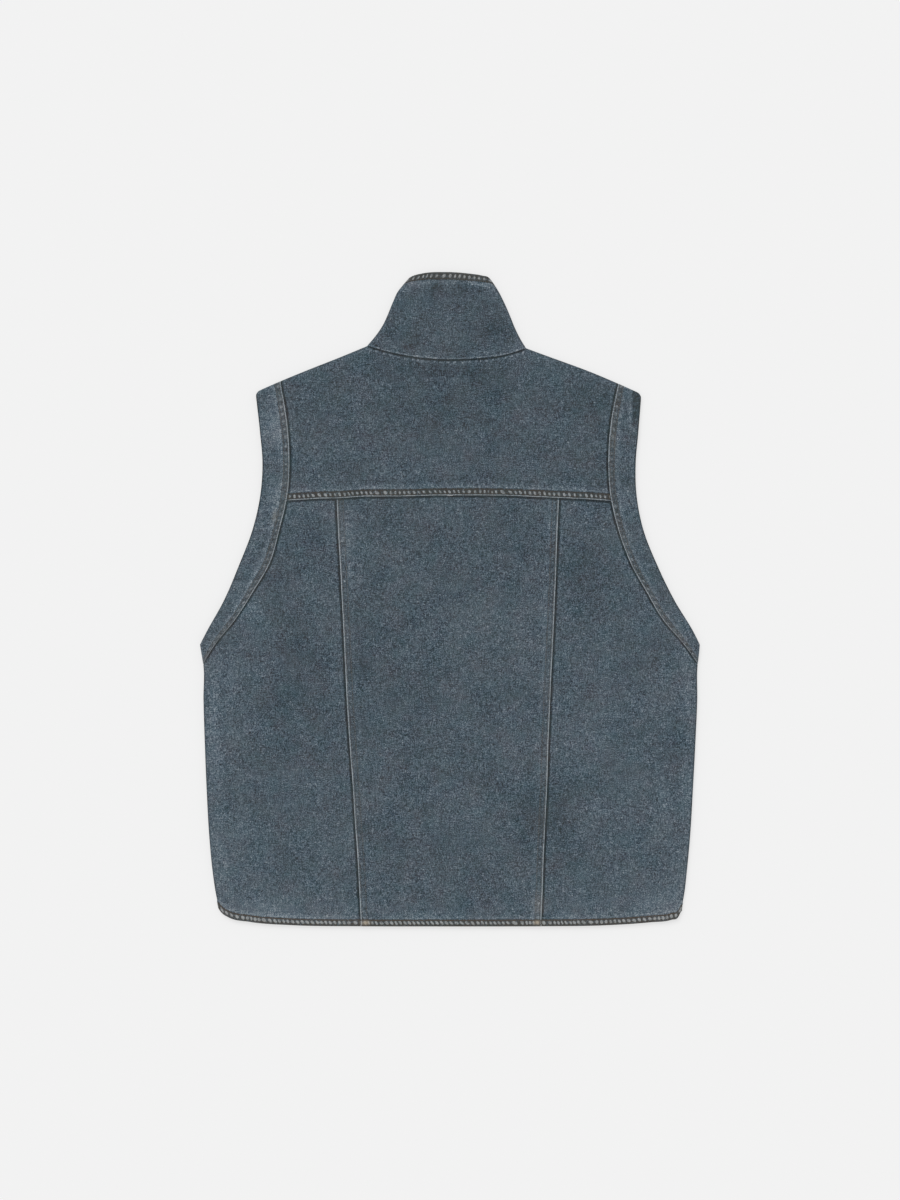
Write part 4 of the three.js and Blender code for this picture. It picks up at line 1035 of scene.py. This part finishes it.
def stitch_row(places, normals, sunk=0.0):
    """Vertices of the stitches along a dense line of places, as stitch, knot, side, xyz."""
    reach = np.concatenate([[0], np.cumsum(np.linalg.norm(np.diff(places, axis=0), axis=1))])
    count = int(reach[-1] / STITCH_PITCH)
    where = (np.arange(count)[:, None] + STITCH_KNOTS) * STITCH_PITCH
    sample = lambda values: np.stack([np.interp(where, reach, values[:, i]) for i in range(3)], -1)
    centre_line, normal = sample(places), sample(normals)
    normal /= np.linalg.norm(normal, axis=-1, keepdims=True)
    run = np.gradient(centre_line, axis=1)
    run /= np.linalg.norm(run, axis=-1, keepdims=True)
    across = np.cross(normal, run)
    centre_line = centre_line + normal * (STITCH_HEIGHTS - sunk)[None, :, None]
    turn = np.arange(THREAD_SIDES) * 2 * np.pi / THREAD_SIDES
    ring = np.cos(turn)[:, None] * normal[..., None, :] + np.sin(turn)[:, None] * across[..., None, :]
    return centre_line[..., None, :] + THREAD_RADIUS * ring

# %% One mesh for a seam's stitches
def tube_faces(at):
    """Faces round tubes, from the numbers of their vertices by tube, ring and side."""
    turned = np.roll(at, -1, axis=2)
    return np.stack([at[:, :-1], turned[:, :-1], turned[:, 1:], at[:, 1:]], -1).reshape(-1, 4)


def stitches(name, rows):
    """One mesh of all the stitches in several rows. Two faces close each end of a stitch."""
    rings = np.concatenate(rows)
    at = np.arange(rings[..., 0].size).reshape(rings.shape[:3])
    ends = at[:, 0, ::-1], at[:, -1]
    caps = [end[:, corners] for corners in ([0, 1, 2, 3], [0, 3, 4, 5]) for end in ends]
    piece = fill_mesh(name, rings.reshape(-1, 3), np.concatenate([tube_faces(at), *caps]))
    print(f"{name}: {len(rings)} stitches")
    return piece


def dense(low, high, step=0.6 * MM):
    return np.linspace(low, high, max(2, int(abs(high - low) / step)))


def row_on_back(x, y, relief):
    """A stitch row on the back along places x, y, with the relief of that piece."""
    outer, _, normal = cloth(x, y, 1, DENIM, relief(x, y)[0], SEAM / 6)
    return stitch_row(outer, normal)


# %% Stitches of the yoke, the princess seams and the hem
END = 1.5 * MM  # a row stops this far short of the end of its seam
YOKE_ROW_ENDS, PRINCESS_ROW_TOP, HEM_ROW_END = (-178 * MM, 176 * MM), 110 * MM, 252 * MM


def make_back_stitches():
    x, y = dense(*YOKE_ROW_ENDS), dense(HEM_Y + HEM["width"], PRINCESS_ROW_TOP)
    rows = [row_on_back(x, yoke_y(x) + d, yoke_relief) for d in YOKE_SEAM["rows"]]
    made = [stitches("yoke_topstitch", rows)]
    for hand, word in HANDS:
        lines = [hand * (princess_x(y, hand) - d) for d in PRINCESS_SEAM["rows"]]
        rows = [row_on_back(line, y, centre_relief) for line in lines]
        made.append(stitches(f"princess_topstitch_{word}", rows))
    left_end, right_end = -float(princess_x(HEM_Y, LEFT)), float(princess_x(HEM_Y, RIGHT))
    rows = []
    for low, high, relief in (
        (-HEM_ROW_END, left_end - END, side_relief), (left_end + END, right_end - END, centre_relief),
        (right_end + END, HEM_ROW_END, side_relief),
    ):
        x = dense(low, high)
        rows.append(row_on_back(x, hem_y(x) + HEM["rows"][0], relief))
    made.append(stitches("hem_topstitch", rows))
    return made


thread_pieces = make_back_stitches()

# %% Stitches of the bands, the collar and the fronts
SUNK = 0.2 * MM  # stitches on the underside lie this much deeper, clear of the surface
FRONT_ROWS = (2 * MM, 8 * MM)  # the rows beside the zip, in from the front's edge
ZIP_ROW_TOP, FRONT_HEM_ROW_END = 196 * MM, 250 * MM


def make_band_stitches(hand, word):
    rows, ring = [], band_ring()
    for stations, sunk in ((ring[:, ring[3] > 0], 0.0), (ring[:, ring[3] < 0], SUNK)):
        for d in BAND_SEAM["rows"]:
            w = np.full(stations.shape[1], 1 - d / BAND_WIDTH)
            outer, _, normal, _ = band_cloth(hand, stations, w)
            rows.append(stitch_row(outer, normal, sunk))
    return stitches(f"band_topstitch_{word}", rows)


def make_collar_stitches():
    back, front = dense(0.03, 0.97, 0.003), dense(0.98, 0.04, 0.006)
    rows = []
    for share, facing, hand, sunk in (
        (back, 1, LEFT, 0.0), (front, -1, LEFT, SUNK), (front, -1, RIGHT, SUNK),
    ):
        up = np.full_like(share, 1 - COLLAR_EDGE["rows"][0] / COLLAR_HEIGHT)
        outer, _, normal, _ = collar_cloth(collar_stations(share, facing, hand), up)
        rows.append(stitch_row(outer, normal, sunk))
    return stitches("collar_topstitch", rows)


def make_front_stitches(hand, word):
    y = dense(HEM_Y + HEM["width"], ZIP_ROW_TOP)
    x = hand * dense(ZIP_EDGE + FRONT_ROWS[0], FRONT_HEM_ROW_END)
    lines = [(np.full_like(y, hand * (ZIP_EDGE + d)), y) for d in FRONT_ROWS]
    rows = []
    for line_x, line_y in (*lines, (x, hem_y(x) + FRONT_INSET + HEM["rows"][0])):
        outer, _, normal = cloth(line_x, line_y, -1, DENIM)
        rows.append(stitch_row(outer, normal, SUNK))
    return stitches(f"front_topstitch_{word}", rows)


thread_pieces.append(make_collar_stitches())
for hand, word in HANDS:
    thread_pieces += [make_band_stitches(hand, word), make_front_stitches(hand, word)]

# %% [markdown]
# ## The zip
# The zip lies inside the fronts: two woven tapes, a row of metal teeth gripped on their
# edges, a box at the bottom, and the slider at the top with its pull. The slider, the pull
# and the box are hard pieces whose solids are right, so they stay and only lose their sharp
# edges. The chain's plain strip gives way to teeth, which mesh from left and right in turn.

# %% Zip tapes
TAPE_WALL = 0.8 * MM
TAPE_SIDES = {"left": (-17 * MM, -3.1 * MM), "right": (3.1 * MM, 17 * MM)}
TAPE_TOP, TAPE_BOTTOM = 283 * MM, -355 * MM
TAPE_STEP_Y, TAPE_STEP = 186 * MM, 12 * MM  # where the tape steps up on to the collar's wall


def tape_middle_z(y):
    """Height of the middle of the tapes, on the front's inner face."""
    thick = lerp(DENIM, COLLAR_WALL, smooth((y - TAPE_STEP_Y) / TAPE_STEP))
    return over_zip(zip_lift, np.zeros_like(y), y) + thick + SEAM + TAPE_WALL / 2


def make_tape(word):
    left, right = TAPE_SIDES[word]
    x, y = np.meshgrid(np.linspace(left, right, 8), np.linspace(TAPE_BOTTOM, TAPE_TOP, 260))
    middle = tape_middle_z(y)
    lower, upper = (np.stack([x, y, middle + s * TAPE_WALL / 2], -1) for s in (-1, 1))
    piece = shell(
        f"zip_tape_cloth_{word}", lower, upper,
        seams=(FAR, FAR, FAR), puckers=(0, 0, FAR), marks=(0, 0, 0),
    )
    area, rests_on = grid_area(lower), [f"front_cloth_{word}"]
    declare_sheet(f"zip_tape_{word}", area)
    return piece


tapes = [make_tape("left"), make_tape("right")]

# %% Zip teeth
TOOTH_PITCH = 1.3 * MM  # from a left tooth to the next right one
TOOTH_TOP, TOOTH_BOTTOM = 277.5 * MM, -344 * MM  # the chain runs from the slider to the box
TOOTH_CORNER = math.radians(35)
# a tooth seen from above, from its grip on the tape to its head: x, half width along the zip
TOOTH_OUTLINE = np.array([(-2.8, 0.50), (-1.3, 0.50), (-0.6, 0.34), (0.1, 0.52), (0.8, 0.42)]) * MM
TOOTH_HALF_THICK = np.array([0.72, 0.9, 0.9, 0.85, 0.5]) * MM


def make_teeth():
    y = np.arange(TOOTH_BOTTOM + TOOTH_PITCH, TOOTH_TOP - TOOTH_PITCH, TOOTH_PITCH)
    hand = np.where(np.arange(len(y)) % 2 == 0, 1.0, -1.0)
    section = np.array([(-1, -1), (1, -1), (1, 1), (-1, 1)])
    places = np.zeros((len(y), len(TOOTH_OUTLINE), 4, 3))
    places[..., 0] = (hand[:, None] * TOOTH_OUTLINE[:, 0])[..., None]
    places[..., 1] = y[:, None, None] + TOOTH_OUTLINE[:, 1][:, None] * section[:, 0]
    places[..., 2] = tape_middle_z(y)[:, None, None] + TOOTH_HALF_THICK[:, None] * section[:, 1]
    places[hand < 0] = places[hand < 0][:, :, ::-1]
    at = np.arange(places[..., 0].size).reshape(places.shape[:3])
    faces = np.concatenate([tube_faces(at), at[:, 0, ::-1], at[:, -1]])
    piece = fill_mesh("zip_teeth", places.reshape(-1, 3), faces)
    piece.data.set_sharp_from_angle(angle=TOOTH_CORNER)
    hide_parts("zip_chain")
    print("zip teeth:", len(y))
    return piece


teeth = make_teeth()

# %% [markdown]
# ## Washed denim
# Denim is woven from dark warp and pale weft in a twill, so from near it shows fine slanted
# lines and from a step away a fine mottle. Washing and wear take the blue off the high
# places: rolled edges, the crests of puckers, fold lines. Painted shade darkens the grooves
# under lapped edges, the edges of the outline and the rolled-under shoulder tip. All of this
# is one scale from dark to pale. Each effect adds to a single number, the wash level, and one
# colour ramp turns the level into colour. The effects are node groups that every denim shares.

# %% Values in a node tree
class Signal:
    """A value in a node tree. Adding or multiplying it puts one Math node behind it."""

    def __init__(self, tree, socket):
        self.tree, self.socket = tree, socket

    def math(self, operation, *others, clamp=False):
        node = self.tree.nodes.new("ShaderNodeMath")
        node.operation, node.use_clamp = operation, clamp
        for socket, value in zip(node.inputs, (self, *others)):
            feed(self.tree, socket, value)
        return Signal(self.tree, node.outputs[0])

    def __add__(self, other):
        return self.math("ADD", other)

    def __mul__(self, other):
        return self.math("MULTIPLY", other)

    def scaled(self, by, plus=0.0, clamp=False):
        return self.math("MULTIPLY_ADD", by, plus, clamp=clamp)


def feed(tree, socket, value):
    """Link a signal to a socket, or set the socket to a plain number or colour."""
    if isinstance(value, Signal):
        tree.links.new(value.socket, socket)
    else:
        socket.default_value = value

# %% Noise, ramps and blends
def place_in(tree):
    """The place on the vest, which every pattern reads."""
    node = tree.nodes.get("Place") or tree.nodes.new("ShaderNodeTexCoord")
    node.name = "Place"
    return node.outputs["Object"]


def parts_of(tree, vector):
    node = tree.nodes.new("ShaderNodeSeparateXYZ")
    tree.links.new(vector, node.inputs[0])
    return [Signal(tree, node.outputs[axis]) for axis in "XYZ"]


def noise(tree, size, detail=2.0, stretch=(1, 1, 1), roughness=0.55):
    """Noise centred on zero, about -1 to 1, with patches of a size in metres."""
    mapping = tree.nodes.new("ShaderNodeMapping")
    mapping.inputs["Scale"].default_value = [s / size for s in stretch]
    tree.links.new(place_in(tree), mapping.inputs["Vector"])
    texture = tree.nodes.new("ShaderNodeTexNoise")
    settle(texture, Scale=1.0, Detail=detail, Roughness=roughness)
    tree.links.new(mapping.outputs["Vector"], texture.inputs["Vector"])
    return Signal(tree, texture.outputs["Fac"]).scaled(4.0, -2.0)


def colour_ramp(tree, value, stops):
    """A colour read off a line through stops of (place, colour), for places from 0 to 1."""
    ramp = tree.nodes.new("ShaderNodeValToRGB")
    elements = ramp.color_ramp.elements
    while len(elements) < len(stops):
        elements.new(0.5)
    for element, (place, colour) in zip(elements, stops):
        element.position, element.color = place, colour
    feed(tree, ramp.inputs["Fac"], value)
    return Signal(tree, ramp.outputs["Color"])


def profile(tree, value, stops):
    return colour_ramp(tree, value, [(place, (height, height, height, 1)) for place, height in stops])


def blend(tree, amount, low, high):
    """A colour between two others."""
    mix = tree.nodes.new("ShaderNodeMix")
    mix.data_type = "RGBA"
    for label, value in (("Factor", amount), ("A", low), ("B", high)):
        feed(tree, mix.inputs[label], value)
    return Signal(tree, mix.outputs["Result"])


# %% Shared groups and plain materials
def new_group(name, inputs, outputs):
    """An empty group with float inputs and named outputs, and a function that fills them."""
    tree = bpy.data.node_groups.new(name, "ShaderNodeTree")
    for label, default in inputs.items():
        socket = tree.interface.new_socket(label, in_out="INPUT", socket_type="NodeSocketFloat")
        socket.default_value = default
    for label in outputs:
        kind = "NodeSocketColor" if label == "Color" else "NodeSocketFloat"
        tree.interface.new_socket(label, in_out="OUTPUT", socket_type=kind)
    source = {s.name: Signal(tree, s) for s in tree.nodes.new("NodeGroupInput").outputs if s.name}
    result = tree.nodes.new("NodeGroupOutput").inputs

    def give(**signals):
        for label, signal in signals.items():
            feed(tree, result[label], signal)
        return tree

    return tree, source, give


def place_group(tree, group, values):
    """The outputs of a node of that group, with its inputs set from signals or numbers."""
    node = tree.nodes.new("ShaderNodeGroup")
    node.node_tree = group
    for label, value in values.items():
        feed(tree, node.inputs[label], value)
    return {socket.name: Signal(tree, socket) for socket in node.outputs}


def add_bump(tree, shader, height, strength, distance):
    bump = tree.nodes.new("ShaderNodeBump")
    for label, value in (("Height", height), ("Strength", strength), ("Distance", distance)):
        feed(tree, bump.inputs[label], value)
    tree.links.new(bump.outputs["Normal"], shader.inputs["Normal"])


def srgb(*parts):
    """A colour of 8-bit values as the linear colour that a shader takes."""
    shares = [part / 255 for part in parts]
    return (*(s / 12.92 if s <= 0.04045 else ((s + 0.055) / 1.055) ** 2.4 for s in shares), 1)


# %% The twill weave
TWILL_PITCH = 1.05 * MM
TWILL_SLANT = math.radians(58)


def make_weave_group():
    tree, _, give = new_group("Twill weave", {}, ("Fleck", "Height"))
    grain = noise(tree, 1.07 * MM, detail=1.6, roughness=0.62)
    warp = noise(tree, 1.0 * MM, detail=1.0, stretch=(1, 0.16, 1))
    weft = noise(tree, 1.15 * MM, detail=1.0, stretch=(0.18, 1, 1))
    slubs = noise(tree, 3.9 * MM, detail=1.0)
    x, y, _ = parts_of(tree, place_in(tree))
    across = x * (math.sin(TWILL_SLANT) / TWILL_PITCH) + y * (-math.cos(TWILL_SLANT) / TWILL_PITCH)
    line = ((across + slubs * 0.16) * (2 * math.pi)).math("SINE")
    return give(
        Fleck=grain * 0.78 + warp * 0.24 + weft * 0.22 + slubs * 0.03 + line * 0.1,
        Height=line * 0.5 + grain * 0.5 + warp * 0.2,
    )


weave_group = make_weave_group()

# %% Patchy fading
TINT_SWING = 0.145  # how strongly the blue leans to a warm grey, or to green, in places


def make_fade_group():
    tree, _, give = new_group("Patchy fading", {}, ("Fade", "Warmth", "Green"))
    broad = noise(tree, 62 * MM, detail=1.0)
    cloudy = noise(tree, 15 * MM, detail=1.0)
    level = noise(tree, 9 * MM, detail=1.0, stretch=(0.16, 1, 1))
    warm = noise(tree, 28 * MM, detail=3.5, roughness=0.64)
    green = noise(tree, 17 * MM, detail=4.0, stretch=(0.8, 1, 1), roughness=0.72)
    return give(
        Fade=broad * 0.5 + cloudy * 0.35 + level * 0.2,
        Warmth=warm.scaled(TINT_SWING, TINT_SWING),
        Green=green.scaled(TINT_SWING, TINT_SWING),
    )


fade_group = make_fade_group()

# %% [markdown]
# ## Wear along a seam, and painted shade at the outline's edges
# Read across a topstitched seam from its rolled edge: a pale worn line, a dark dip at the
# first stitch row, a ropy stretch of pale crests and dark hollows, a dip at the second row,
# and pale puckers that fade out into the panel. Along the edges of the outline, at the hem,
# the collar's top, the armholes and the side folds, a line of painted shade runs beside the
# edge. The group reads the distance from the edge and the pucker wave that were stored on the
# mesh, and puts out how pale, how dark and how brown the cloth is there. Each seam places it
# with its own width and strengths.

# %% The seam wear and painted edge shade group
PROFILE_SPAN = 1.8  # the profiles run this many ridge widths in from the edge
# each band across a seam, as stops of (ridge widths in from the edge, strength)
SEAM_PROFILES = {
    "edge": ((0.02, 0.7), (0.04, 1), (0.115, 1), (0.17, 0)),
    "shade": ((0.0, 1), (0.1, 1), (0.17, 0)),
    "first": ((0.17, 0), (0.23, 1), (0.31, 1), (0.38, 0)),
    "body": ((0.1, 0), (0.17, 1), (0.86, 1), (0.98, 0)),
    "oval": ((0.2, 0), (0.34, 0.8), (0.48, 1), (0.62, 0.8), (0.76, 0)),
    "second": ((0.7, 0), (0.78, 1), (0.87, 1), (0.96, 0)),
    "above": ((0.93, 0), (1.07, 1), (1.28, 0.75), (1.7, 0)),
}
SEAM_INPUTS = {
    "Distance": 1.0, "Wave": 0.0, "Width": 0.009, "Edge": 0.0, "Edge Shade": 0.0, "Body Shade": 0.0,
    "Blobs": 0.0, "Blob Size": 0.0, "Rows": 0.0, "Above": 0.0, "Stain": 0.0, "Row Stain": 0.0,
    "Tan Cast": 0.0, "Ragged": 0.22,
}


def across_seam(stops):
    return [(0.0, stops[0][1]), *((place / PROFILE_SPAN, height) for place, height in stops), (1.0, 0.0)]


def make_seam_group():
    tree, source, give = new_group("Seam wear and painted edge shade", SEAM_INPUTS, ("Pale", "Dark", "Brown", "Tan"))
    distance, wave, shade_share = source["Distance"], source["Wave"], source["Edge Shade"]
    coarse = noise(tree, 4.2 * MM)
    breakup = coarse.scaled(0.55, 0.9)
    mottle = noise(tree, 2.0 * MM) + 0.95
    wobble = noise(tree, 11 * MM) * (0.22 * MM)
    frayed = noise(tree, 3.4 * MM) * distance.math("MULTIPLY", 60, clamp=True) * (0.5 * MM)
    share = (distance + wobble + frayed).math("DIVIDE", source["Width"])
    reach = share.math("DIVIDE", PROFILE_SPAN, clamp=True)
    band = {name: profile(tree, reach, across_seam(stops)) for name, stops in SEAM_PROFILES.items()}
    raised = wave + band["oval"] + source["Blob Size"]
    blob = raised.scaled(1.9, -1.95, clamp=True) * band["oval"].math("MULTIPLY", 4.0, clamp=True)
    between = blob.scaled(-1.0, 1.0)
    crest = wave.math("MAXIMUM", 0.0)
    rows = band["first"] * 0.6 + band["second"]
    worn_edge = band["edge"] * source["Edge"] * coarse.scaled(source["Ragged"], 0.95)
    roped = blob * source["Blobs"] * breakup
    past = band["above"] * source["Above"] * crest.scaled(0.4, 0.45) * breakup
    hollows = band["body"] * source["Body Shade"] * between * mottle * wave.scaled(-0.3, 0.92)
    dips = rows * source["Rows"] * wave.scaled(-0.5, 0.8)
    # the shade band times Edge Shade is painted shade along an edge of the outline, where the cloth turns
    # down out of the light; the line below tints that painted shade brownish grey
    edge_shade_tint = band["shade"] * shade_share * source["Stain"]
    stained = rows * source["Row Stain"] + band["body"] * between * source["Stain"] + edge_shade_tint
    return give(
        Pale=worn_edge + roped + past,
        Dark=band["shade"] * shade_share * breakup + hollows + dips,
        Brown=stained * mottle,
        Tan=(blob + band["edge"] * 0.4 + band["body"] * 0.25) * source["Tan Cast"],
    )


seam_group = make_seam_group()

# %% Wear along the outline, and painted shade along it and in the grooves
OUTLINE_INPUTS = {"Outline": 1.0, "Groove": 1.0, "Outline Shade": 0.4, "Fold Wear": 0.3, "Groove Shade": 1.0}
OUTLINE_REACH, GROOVE_REACH = 10 * MM, 6 * MM


def make_outline_group():
    tree, source, give = new_group("Outline wear and painted shade", OUTLINE_INPUTS, ("Pale", "Dark"))
    patchy = noise(tree, 13 * MM).scaled(0.6, 0.5, clamp=True)
    near = source["Outline"].math("DIVIDE", OUTLINE_REACH, clamp=True)
    beside = source["Groove"].math("DIVIDE", GROOVE_REACH, clamp=True)
    # rim is painted shade along the outline, where the cloth turns down to the floor; deep is painted shade
    # in the groove beside a neighbour's lapped edge
    rim = profile(tree, near, [(0, 1), (0.08, 0.7), (0.16, 0), (1, 0)])
    fold = profile(tree, near, [(0.1, 0), (0.25, 1), (0.5, 0.6), (1, 0)])
    deep = profile(tree, beside, [(0, 1), (0.28, 1), (0.41, 0.3), (0.62, 0)])
    lip = profile(tree, beside, [(0.3, 0), (0.5, 1), (0.95, 0)])
    return give(
        Pale=fold * source["Fold Wear"] * patchy + lip * patchy * 0.3,
        Dark=rim * source["Outline Shade"] + deep * source["Groove Shade"],
    )


outline_group = make_outline_group()

# %% The wash level and its colours
# the darkest stops are reached in the painted shade of the grooves and the outline, and in the darkest
# hollows of the seams
WASH_COLOURS = [
    (0.00, srgb(8, 12, 18)), (0.16, srgb(35, 44, 55)), (0.30, srgb(52, 66, 80)), (0.42, srgb(67, 82, 95)),
    (0.58, srgb(88, 102, 115)), (0.70, srgb(105, 117, 128)), (0.85, srgb(130, 140, 149)),
    (1.00, srgb(162, 169, 175)),
]
# what tints the washed blue: the most that it may take over, and its colour
TINTS = {
    "Warmth": (1.0, srgb(94, 82, 82)), "Green": (1.0, srgb(58, 92, 94)),
    "Brown": (0.6, srgb(60, 56, 50)), "Tan": (1.0, srgb(158, 147, 130)),
}
# how far each effect moves the wash level. Dark carries dark wear and painted shade together
LEVEL_STEPS = {"Fade": 0.094, "Pale": 0.42, "Dark": -0.36}


def make_wash_group():
    inputs = dict.fromkeys(("Tone", "Fleck", "Contrast", *LEVEL_STEPS, *TINTS), 0.0)
    tree, source, give = new_group("Wash level", inputs, ("Color", "Roughness"))
    level = source["Tone"] + source["Fleck"] * source["Contrast"]
    for label, step in LEVEL_STEPS.items():
        level = level + source[label] * step
    colour = colour_ramp(tree, level, WASH_COLOURS)
    for label, (most, tint) in TINTS.items():
        colour = blend(tree, source[label].math("MULTIPLY", most, clamp=True), colour, tint)
    return give(Color=colour, Roughness=source["Fleck"].scaled(0.04, 0.9))


wash_group = make_wash_group()

# %% [markdown]
# ## The denims
# Each cloth places the shared groups with its own tone and seam strengths. The bands are
# washed palest and the collar stays darkest. A touch of sheen stands for the fuzz of worn
# cotton.

# %% Denim materials
SEAM_COLUMNS = (
    "Edge", "Edge Shade", "Body Shade", "Blobs", "Blob Size", "Rows", "Above", "Stain", "Row Stain",
    "Tan Cast", "Ragged",
)
# each seam's wear and its painted edge shade: its width, then its strengths in the columns above
SEAM_WEAR_AND_SHADE = {
    "hem": (8.2 * MM, 0, 0.9, 0.76, 1.2, 0.56, 0.4, 0.75, 0.6, 0.9, 0.2),
    "yoke": (8.6 * MM, 1.5, 0, 0.98, 1.2, 0.3, 0.15, 0.95, 0.5, 0.3, 0.16),
    "princess": (8.5 * MM, 1.75, 0, 0.06, 0.35, 0.1, 0.3, 0.4, 0.14, 0.1, 0.04),
    "band": (7.6 * MM, 1.45, 0, 0.36, 0.3, 0.1, 0.3, 0.85, 0.26, 0.2, 0.1),
    "band edge": (9.0 * MM, 0, 0.7, 0, 0.3, 0, 0, 0, 0.07),
    "neck": (6.5 * MM, 0, 0, 0, 0.7, 0.25),
    "collar top": (7.9 * MM, 0, 0.6, 0.9, 1.1, 0.24, 0.3, 1.0, 0.42, 0.2, 0.22),
    "collar base": (11.0 * MM, 0.75, 0, 0, 0, 0, 0, 0, 0, 0, 0, 0.75),
    "side fold": (9.0 * MM, 0, 0.3, 0, 0.15, 0, 0, 0, 0.07),
    "zip edge": (9.0 * MM, 0.6, 0, 0.3, 0.2, 0, 0.2, 0.1, 0.35, 0.4),
}

# %% One denim
WEAVE_BUMP, WEAVE_DEPTH = 0.55, 0.16 * MM


def stored(tree, name):
    """The three parts of an attribute stored on the mesh."""
    node = tree.nodes.new("ShaderNodeAttribute")
    node.attribute_name = name
    return parts_of(tree, node.outputs["Vector"])


def seam_wear_and_shade(tree, name, distance, wave):
    width, *strengths = SEAM_WEAR_AND_SHADE[name]
    values = {"Distance": distance, "Wave": wave, "Width": width, **dict(zip(SEAM_COLUMNS, strengths))}
    return place_group(tree, seam_group, values)


def denim(name, tone, cross, long, contrast=0.655, fold_wear=0.3, groove_shade=1.3):
    """A denim. cross and long name the wear and painted edge shade of the seams that run across and up the
    cloth.
    """
    material, tree, shader = new_material(name)
    from_cross, from_long, beside = stored(tree, "seams")
    cross_wave, long_wave, outline = stored(tree, "puckers")
    pale, dark, tan = stored(tree, "marks")
    weave, fading = place_group(tree, weave_group, {}), place_group(tree, fade_group, {})
    across = seam_wear_and_shade(tree, cross, from_cross, cross_wave)
    up = seam_wear_and_shade(tree, long, from_long, long_wave)
    # the outline group adds painted shade along the outline and in the grooves, and pale wear on the folds
    rim = place_group(tree, outline_group, {
        "Outline": outline, "Groove": beside, "Outline Shade": 0.5, "Fold Wear": fold_wear,
        "Groove Shade": groove_shade,
    })
    wash = place_group(tree, wash_group, {
        "Tone": tone, "Contrast": contrast, "Fleck": weave["Fleck"], **fading,
        "Pale": pale + rim["Pale"] + across["Pale"] + up["Pale"],
        "Dark": dark + rim["Dark"] + across["Dark"] + up["Dark"],
        "Brown": across["Brown"] + up["Brown"],
        "Tan": tan + across["Tan"] + up["Tan"],
    })
    feed(tree, shader.inputs["Base Color"], wash["Color"])
    feed(tree, shader.inputs["Roughness"], wash["Roughness"])
    add_bump(tree, shader, weave["Height"], WEAVE_BUMP, WEAVE_DEPTH)
    settle(shader, Specular_IOR_Level=0.25, Sheen_Weight=0.08, Sheen_Roughness=0.5)
    return material

# %% The seven denims
def dress(pieces, finish):
    for piece in pieces:
        piece.data.materials.append(finish)


dress([yoke], denim("yoke denim", 0.362, "yoke", "neck"))
dress([centre], denim("centre denim", 0.373, "hem", "princess", contrast=0.67, fold_wear=0.0))
dress([collar], denim("collar denim", 0.352, "collar top", "collar base"))
dress(sides, denim("side denim", 0.393, "hem", "side fold"))
dress(fronts, denim("front denim", 0.372, "hem", "zip edge", groove_shade=0.8))
dress(bands[:1], denim("left band denim", 0.430, "band edge", "band", contrast=0.68, fold_wear=0.0))
dress(bands[1:], denim("right band denim", 0.388, "band edge", "band", contrast=0.68, fold_wear=0.0))
denims = {piece.data.materials[0] for piece in (yoke, centre, collar, *sides, *fronts, *bands)}
print("denims:", len(denims))

# %% [markdown]
# ## Thread, tape and metal
# The thread has faded unevenly from tobacco brown, most of all down the long seams, where
# it is nearly as grey as the cloth. The zip's tape is a dark herringbone. Its metal is
# dulled, with brighter wear and darker oxide in patches.

# %% Thread, tape and metal
def two_tone(name, dark, light, size, smoothest, roughest, metallic=0.0, bump=0.05 * MM, stretch=(1, 1, 1)):
    """A finish that goes between two colours and two roughnesses in patches of a size."""
    material, tree, shader = new_material(name)
    patches = noise(tree, size, stretch=stretch).scaled(0.5, 0.5, clamp=True)
    feed(tree, shader.inputs["Base Color"], blend(tree, patches, srgb(*dark), srgb(*light)))
    feed(tree, shader.inputs["Roughness"], patches.scaled(roughest - smoothest, smoothest))
    settle(shader, Metallic=metallic)
    add_bump(tree, shader, noise(tree, size / 6, detail=1.0, stretch=stretch), 0.5, bump)
    return material


thread_finish = two_tone("tobacco thread", (38, 34, 32), (100, 76, 58), 6 * MM, 0.75, 0.9)
dark_finish = two_tone("dark thread", (34, 33, 33), (76, 68, 59), 6 * MM, 0.75, 0.9)
faded_finish = two_tone("faded thread", (70, 73, 78), (124, 125, 125), 4 * MM, 0.75, 0.9)
SEAM_THREADS = {"princess": faded_finish, "band": faded_finish, "yoke": dark_finish, "collar": dark_finish}
for piece in thread_pieces:
    dress([piece], SEAM_THREADS.get(piece.name.split("_")[0], thread_finish))

dress(tapes, two_tone(
    "zip tape weave", (44, 49, 56), (66, 72, 80), 2.2 * MM, 0.8, 0.95, stretch=(0.3, 1, 1),
))
metal_finish = two_tone(
    "dull zip metal", (96, 92, 84), (178, 174, 166), 3 * MM, 0.32, 0.5, metallic=1.0, bump=0.02 * MM,
)
dress([teeth], metal_finish)
for node in ("zip_slider", "zip_pull", "zip_box"):
    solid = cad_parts[node]
    solid.data.materials.clear()
    dress([solid], metal_finish)
    soft_edge = solid.modifiers.new("soft edges", "BEVEL")
    soft_edge.width, soft_edge.segments = 0.15 * MM, 2
    soft_edge.limit_method, soft_edge.angle_limit = "ANGLE", math.radians(40)

# %% [markdown]
# ## Finish
# The vest's pieces and their triangles are counted.

# %% Count the pieces and triangles
triangles = sum(2 * len(piece.data.polygons) for piece in vest_pieces)
print("pieces:", len(vest_pieces), "triangles:", triangles)
